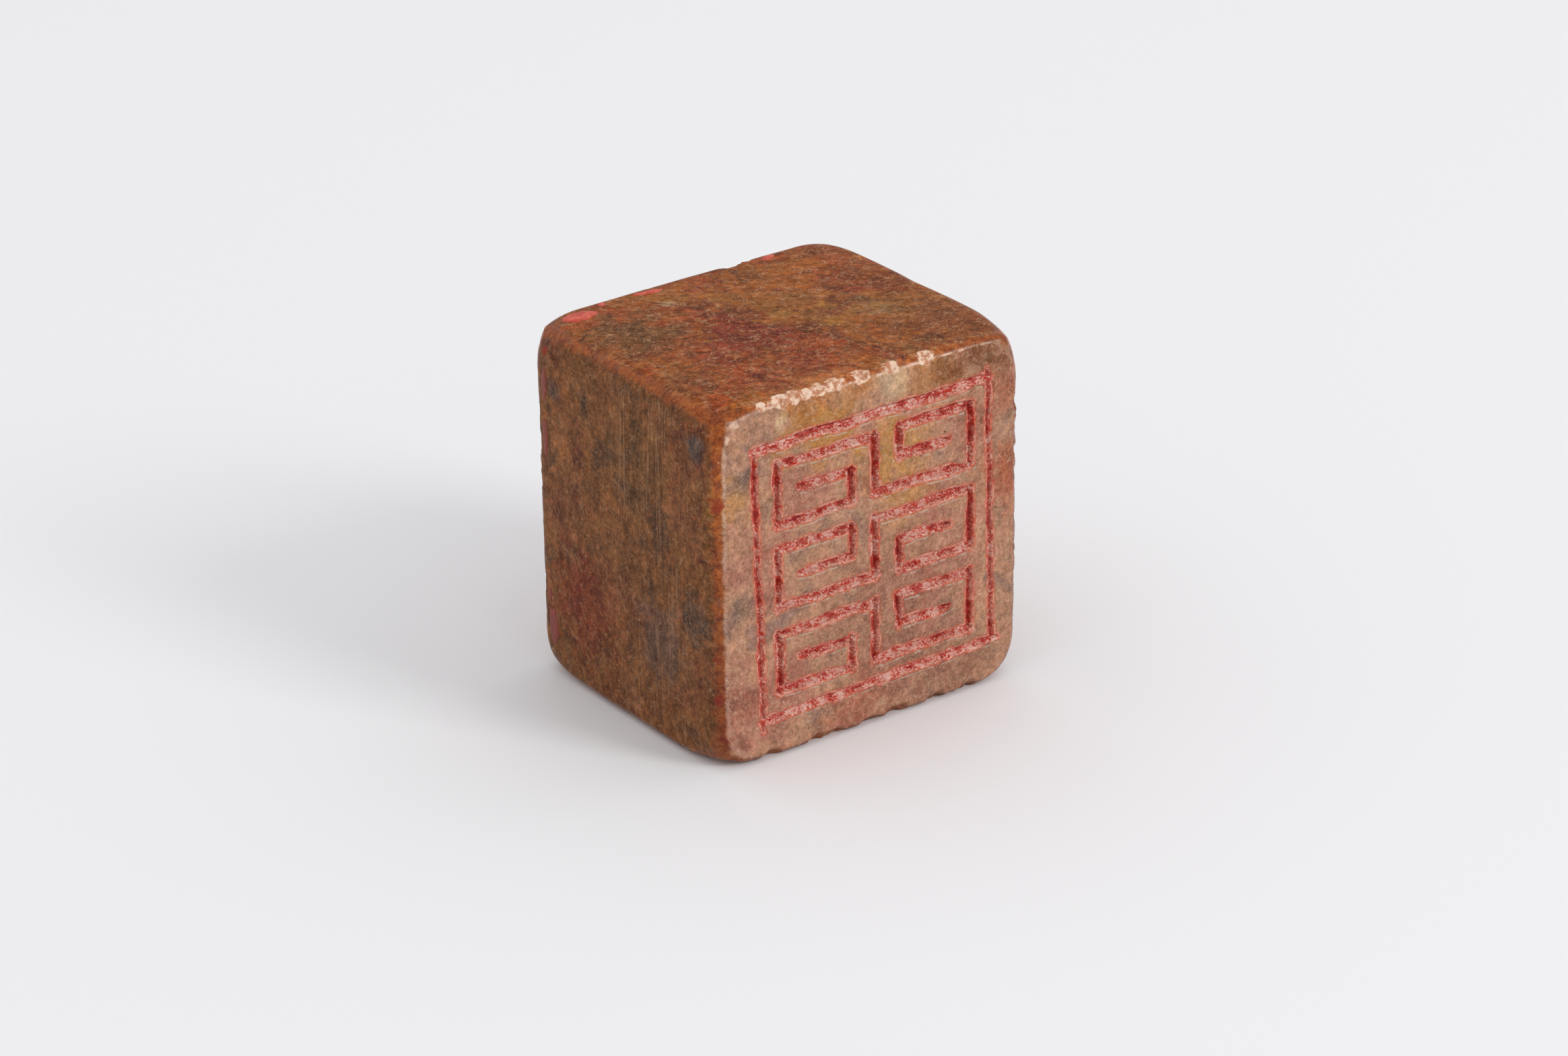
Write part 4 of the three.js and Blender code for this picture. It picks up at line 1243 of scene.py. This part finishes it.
for colour, centre, radius in SMEARS:
    away = add(APART_BY, spot, centre)["Value"]
    frayed = add(TIMES_PLUS, ragged, 3.0, add(TIMES, away, 1 / radius))
    smeared = add(SOFT_RANGE, frayed, 0.3, 0.9, 0.75, 0.0)
    stone_colour = add(MIX, smeared, stone_colour, colour)
print("worn edges laid:", len(tree.nodes), "nodes")

# %% [markdown]
# The grinding stone left fine upright lines on the left side, pale and dark. Old chips show
# the rock's own brown, and the fresh chips on the front edge of the top are cream, because
# there the talc is newly broken.

# %% Stone: grinding lines and chips
LINE_SIZE, LINE_STRETCH = 0.16, 70
lines = noise(LINE_SIZE, detail=2.0, rough=0.6, seed=9, stretch=(1, 1, LINE_STRETCH))
line_zone = add(SOFT_RANGE, noise(3.0, seed=10, stretch=(1, 1, 4)), 0.42, 0.6, 0.25, 1.0)
lined_part = add(TIMES, add(RANGE, spot_y, -11.5, -8.5), add(RANGE, spot_y, 0.5, 2.5, 1.0, 0.1))
line_share = add(TIMES, add(TIMES, lined_part, on_left), line_zone)
for low, high, colour in ((0.54, 0.7, 0xA88468), (0.46, 0.3, 0x3F2A22)):
    share = add(TIMES, add(SOFT_RANGE, lines, low, high, 0.0, 0.5), line_share)
    stone_colour = add(MIX, share, stone_colour, colour)

chip_mark, fresh_mark, cut_gap, under_cut = (
    add(MARK, attribute_name=name)["Fac"] for name in ("chip", "fresh", "cut_gap", "under_cut")
)
chip_colour = shade(tree, add(MIX, on_front, 0x84543E, 0x9C6A50), felt, 0.65, 1.35)
stone_colour = add(MIX, add(TIMES, chip_mark, 0.6), stone_colour, chip_colour)
fresh_talc = add(MIX, add(RANGE, noise(0.5, detail=3.0, seed=17), 0.4, 0.58), 0xBE8060, 0xF0D2B8)
broken_rim = add(TIMES_PLUS, noise(0.45, detail=4.0, rough=0.65, seed=25), 2.4, -1.2)
fresh_share = add(SOFT_RANGE, add(PLUS, broken_rim, fresh_mark), 0.35, 0.75, 0.0, 0.92)
stone_colour = add(MIX, fresh_share, stone_colour, fresh_talc)
print("wear laid:", len(tree.nodes), "nodes")

# %% [markdown]
# Seal paste as it dries: cinnabar red, and a chalky pink powder where the oil has gone, most
# of all in the level cuts and on what faces up. The crimson in the hollows of the powder is
# painted shade, and the extra chalk on what faces the light is a painted highlight.

# %% Paste colour
PASTE_RUN = [(0.36, 0x9C2624), (0.46, 0xC0402F), (0.55, 0xCF5A44), (0.64, 0xD8866C)]
CRIMSON, CHALK_AND_HIGHLIGHT = 0x5C1416, 0xE3C0B2
POWDER_SIZE, PASTE_SMEAR_SIZE = 0.19, 1.1


def paste_colour(tree, spot, lit_share):
    """The colour of the dried paste, and its powder as a height from 0 to 1. Crimson where the powder dips is
    painted shade, and more chalk where the given share of light is high is a painted highlight.
    """
    add = partial(add_node, tree)
    level = add(MARK, attribute_name="cut_level")["Fac"]
    smear = noise_in(tree, spot, PASTE_SMEAR_SIZE, detail=5.0, rough=0.66, seed=13)
    powder = noise_in(tree, spot, POWDER_SIZE, detail=3.0, rough=0.75, seed=12)
    level_powder = add(TIMES_PLUS, level, 0.04, powder)
    # Painted shade: crimson where the powder relief dips.
    deep = add(SOFT_RANGE, level_powder, 0.48, 0.36, 0.0, 0.7)
    colour = add(MIX, deep, colour_run(tree, smear, PASTE_RUN), CRIMSON)
    # Painted highlight: more chalk on paste that faces the light.
    dry_or_lit = add(TIMES_PLUS, lit_share, 0.05, add(TIMES_PLUS, smear, 0.9, level_powder))
    chalk_and_highlight = add(SOFT_RANGE, dry_or_lit, 1.0, 1.11, 0.0, 0.85)
    return add(MIX, chalk_and_highlight, colour, CHALK_AND_HIGHLIGHT)[0], powder


print("paste runs through", len(PASTE_RUN), "reds")

# %% [markdown]
# On the stone the paste lines the walls of the cuts, dusty near the rims. It has painted shade
# where the walls face down and away from the window, and more chalk, a painted highlight,
# where they face it. A thin clean line of orange red runs along the rims, in places with a
# faint halo, and a fine pale line just under the level cuts is a painted highlight, where the
# knife's burr would catch the light.

# %% Stone: paste film in the cuts
RIM_RUN = [(0.42, 0xB23A28), (0.5, 0xCB583E), (0.58, 0xD69680)]
SHADED_FILM, HALO_COLOUR, BURR_HIGHLIGHT_COLOUR = 0x6A1C1C, 0xB0543C, 0xC4B6A6
BURR_HIGHLIGHT_AT = 0.27
fine_rag = add(MINUS, noise(0.35, detail=4.0, rough=0.7, seed=16), 0.5)
edge_gap = add(TIMES_PLUS, fine_rag, 0.22, cut_gap)
wall_x, _, wall_z = add(APART, add("ShaderNodeNewGeometry")["Normal"])
lit = add(TIMES_PLUS, wall_x, 0.7, wall_z)
# Painted highlight: the film is chalkier where the walls face the window and the ceiling.
film, powder = paste_colour(tree, spot, add(RANGE, lit, 0.0, 0.6))
# Painted shade: the film darkens where the walls face down and away from the window.
film = add(MIX, add(RANGE, lit, -0.1, -0.7, 0.0, 0.35), film, SHADED_FILM)
dusty = add(MIX, add(RANGE, powder, 0.42, 0.58), 0xAC5C4A, 0xD09E8C)
dust_places = add(RANGE, noise(1.1, detail=4.0, seed=24), 0.4, 0.55)
wall_dust = add(TIMES, add(RANGE, edge_gap, -0.26, -0.08, 0.0, 0.8), dust_places)
film = add(MIX, wall_dust, film, dusty)
rim_run = noise(1.6, detail=5.0, rough=0.6, seed=18)
rim_colour = colour_run(tree, add(TIMES_PLUS, fine_rag, 0.25, rim_run), RIM_RUN)
rim_places = add(RANGE, rim_run, 0.4, 0.54, 0.15, 0.9)
rim_line = add(TIMES, add(RANGE, edge_gap, 0.2, 0.11), rim_places)
halo = add(TIMES, add(RANGE, edge_gap, 0.5, 0.1, 0.0, 0.5), add(RANGE, rim_run, 0.46, 0.6))
# Painted highlight: a fine pale line just under the level cuts, where the knife's burr would catch the light.
burr_highlight_run = add(SOFT_RANGE, noise(1.2, detail=4.0, seed=19), 0.44, 0.58, 0.0, 0.6)
burr_highlight_gap = add(SIZE, add(MINUS, edge_gap, BURR_HIGHLIGHT_AT))
burr_highlight = add(TIMES, add(RANGE, burr_highlight_gap, 0.03, 0.08, 1.0, 0.0), add(TIMES, burr_highlight_run, under_cut))
in_cut = add(RANGE, edge_gap, 0.05, 0.0)
for share, colour in ((halo, HALO_COLOUR), (burr_highlight, BURR_HIGHLIGHT_COLOUR), (rim_line, rim_colour), (in_cut, film)):
    stone_colour = add(MIX, share, stone_colour, colour)
print("stone colour nodes:", len(tree.nodes))

# %% [markdown]
# Sheen and fine relief. Soapstone takes a soft waxy polish from the hand, most of all on the
# rounded edges, so they are smoother and reflect more than the ground sides. The relief is
# only the grain, the powder and the grinding lines, a few hundredths of a millimetre deep.

# %% Stone: sheen and relief
GRAIN_DEPTH, LINE_DEPTH, POWDER_DEPTH = 0.02, 0.02, 0.04
STONE_IOR = 1.56
FACE_SPECULAR, EDGE_SPECULAR = 0.04, 0.15
SMOOTHEST, ROUGHEST, POLISH_GAIN, PASTE_ROUGH = 0.36, 0.5, 0.22, 0.8
polish = add(SOFT_RANGE, widest, 0.86, 0.995, 1.0, 0.0)
paste_share = add(LARGER, in_cut, rim_line)
roughness = add(RANGE, noise(2.0, detail=4.0, seed=14), NOISE_LOW, NOISE_HIGH, SMOOTHEST, ROUGHEST)
roughness = add(TIMES_PLUS, polish, -POLISH_GAIN, roughness)
roughness = add(LARGER, roughness, add(TIMES, paste_share, PASTE_ROUGH))
relief = add(TIMES, felt, GRAIN_DEPTH)
for height_map, share, depth in ((lines, line_share, -LINE_DEPTH), (powder, paste_share, POWDER_DEPTH)):
    relief = add(TIMES_PLUS, add(TIMES, height_map, share), depth, relief)
end_finish(tree, relief, {
    "Base Color": stone_colour, "Roughness": roughness, "IOR": STONE_IOR,
    "Specular IOR Level": add(RANGE, polish, 0.0, 1.0, FACE_SPECULAR, EDGE_SPECULAR),
})
stone.data.materials.append(stone_finish)
print("stone finish:", len(tree.nodes), "nodes")

# %% [markdown]
# Dried seal paste. Cinnabar in oil dries matt. The cords in the cuts have the same colour as
# the film beside them. The crusts on the edges kept more oil, so they are a purer vermilion
# with a faint sheen, and darker on the left side, where they are rubbed thin.

# %% Paste finishes
PASTE_IOR = 1.5
CORD_ROUGHNESS, CRUST_ROUGHNESS = 0.85, 0.5
CRUST_DEPTH = 0.03
CRUST_RUN, RUBBED_CRUST = [(0.4, 0xB03424), (0.5, 0xCB4630), (0.6, 0xD65C44)], 0x742C1C

tree, spot = new_finish(dried_paste)
facing = add_node(tree, APART, add_node(tree, "ShaderNodeNewGeometry")["Normal"])
# Paste that faces up towards the bright ceiling gets more chalk, a painted highlight.
colour, powder = paste_colour(tree, spot, add_node(tree, RANGE, facing[2], 0.0, 0.6))
relief = add_node(tree, TIMES, powder, POWDER_DEPTH)
end_finish(tree, relief, {"Base Color": colour, "Roughness": CORD_ROUGHNESS, "IOR": PASTE_IOR})

vermilion_crust = bpy.data.materials.new("vermilion_paste_crust_hardened")
tree, spot = new_finish(vermilion_crust)
add = partial(add_node, tree)
smear = noise_in(tree, spot, 1.0, detail=5.0, rough=0.65, seed=21)
grain = noise_in(tree, spot, 0.3, detail=4.0, rough=0.7, seed=22)
thin_share = add(PLUS, add(RANGE, add(APART, spot)[0], -15.0, -15.6, 0.0, 0.45), smear)
rubbed = add(RANGE, thin_share, 0.66, 0.92, 0.0, 0.9)
colour = shade(tree, add(MIX, rubbed, colour_run(tree, smear, CRUST_RUN), RUBBED_CRUST), grain, 0.75, 1.2)
relief = add(TIMES, grain, CRUST_DEPTH)
end_finish(tree, relief, {"Base Color": colour, "Roughness": CRUST_ROUGHNESS, "IOR": PASTE_IOR})
for piece in crusts.values():
    piece.data.materials.append(vermilion_crust)
print("finishes:", [material.name for material in bpy.data.materials])

# %% [markdown]
# The stage. A sheet of white paper reaches past the picture on every side. It is matt, so it
# shows the soft shadow and no reflection. The light is that of a pale room: bright overhead,
# dimmer towards the walls, and one large soft window light from the front right, low enough
# to graze the cut face and to throw a faint long shadow to the back left.

# %% Floor, window light and room light
FLOOR_HALF = 2.5
PAPER_COLOUR, PAPER_ROUGHNESS, PAPER_SPECULAR = 0xF5F5F6, 0.9, 0.1
WINDOW_BEARING, WINDOW_RISE, WINDOW_DISTANCE = 24.0, 31.0, 1.8
WINDOW_SIZE, WINDOW_SHARE = (0.5, 0.7), 0.32
WALL_LIGHT, CEILING_LIGHT, CEILING_FROM = 0.52, 0.82, 0.6
ROOM_COLOUR = (1, 1, 1.015, 1)

far = FLOOR_HALF / MM
floor_corners = [(-far, -far, 0), (far, -far, 0), (far, far, 0), (-far, far, 0)]
floor = make_object("paper_floor", floor_corners, [(0, 1, 2, 3)])
paper = bpy.data.materials.new("white_paper_matt")
tree, _ = new_finish(paper)
end_finish(tree, None, {
    "Base Color": PAPER_COLOUR, "Roughness": PAPER_ROUGHNESS, "Specular IOR Level": PAPER_SPECULAR,
})
floor.data.materials.append(paper)
floor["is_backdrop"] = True

toward_window = direction_at(WINDOW_BEARING, WINDOW_RISE)
window = bpy.data.lights.new("window", "AREA")
window.shape = "RECTANGLE"
window.size, window.size_y = WINDOW_SIZE
window.energy = WINDOW_SHARE * math.pi ** 2 * WINDOW_DISTANCE ** 2
window_object = place_object("window", window)
window_object.location = middle + toward_window * WINDOW_DISTANCE
window_object.rotation_euler = toward_window.to_track_quat("Z", "Y").to_euler()

world = bpy.data.worlds.new("pale_room")
world.use_nodes = True
room = world.node_tree
way = add_node(room, APART, add_node(room, "ShaderNodeTexCoord")["Generated"])
light = add_node(room, SOFT_RANGE, way[2], 0.0, CEILING_FROM, WALL_LIGHT, CEILING_LIGHT)
room.links.new(light[0], room.nodes["Background"].inputs["Strength"])
room.nodes["Background"].inputs["Color"].default_value = ROOM_COLOUR
bpy.context.scene.world = world
bpy.context.scene.view_settings.view_transform = "Standard"
print("window light, watts:", round(window.energy, 2))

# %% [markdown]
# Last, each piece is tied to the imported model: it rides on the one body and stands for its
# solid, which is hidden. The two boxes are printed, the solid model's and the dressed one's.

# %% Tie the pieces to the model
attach(stone, "root")
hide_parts("stone_block")
for node_name, piece in paste_pieces.items():
    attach(piece, "root")
    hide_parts(node_name)
for node_name, piece in crusts.items():
    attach(piece, "root")
    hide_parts(node_name)

looks_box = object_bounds()
boxes = {"cad": [list(corner) for corner in cad_box], "visual": [list(corner) for corner in looks_box]}
for name, box in boxes.items():
    print(name, "box, mm:", [[round(value / MM, 2) for value in corner] for corner in box])
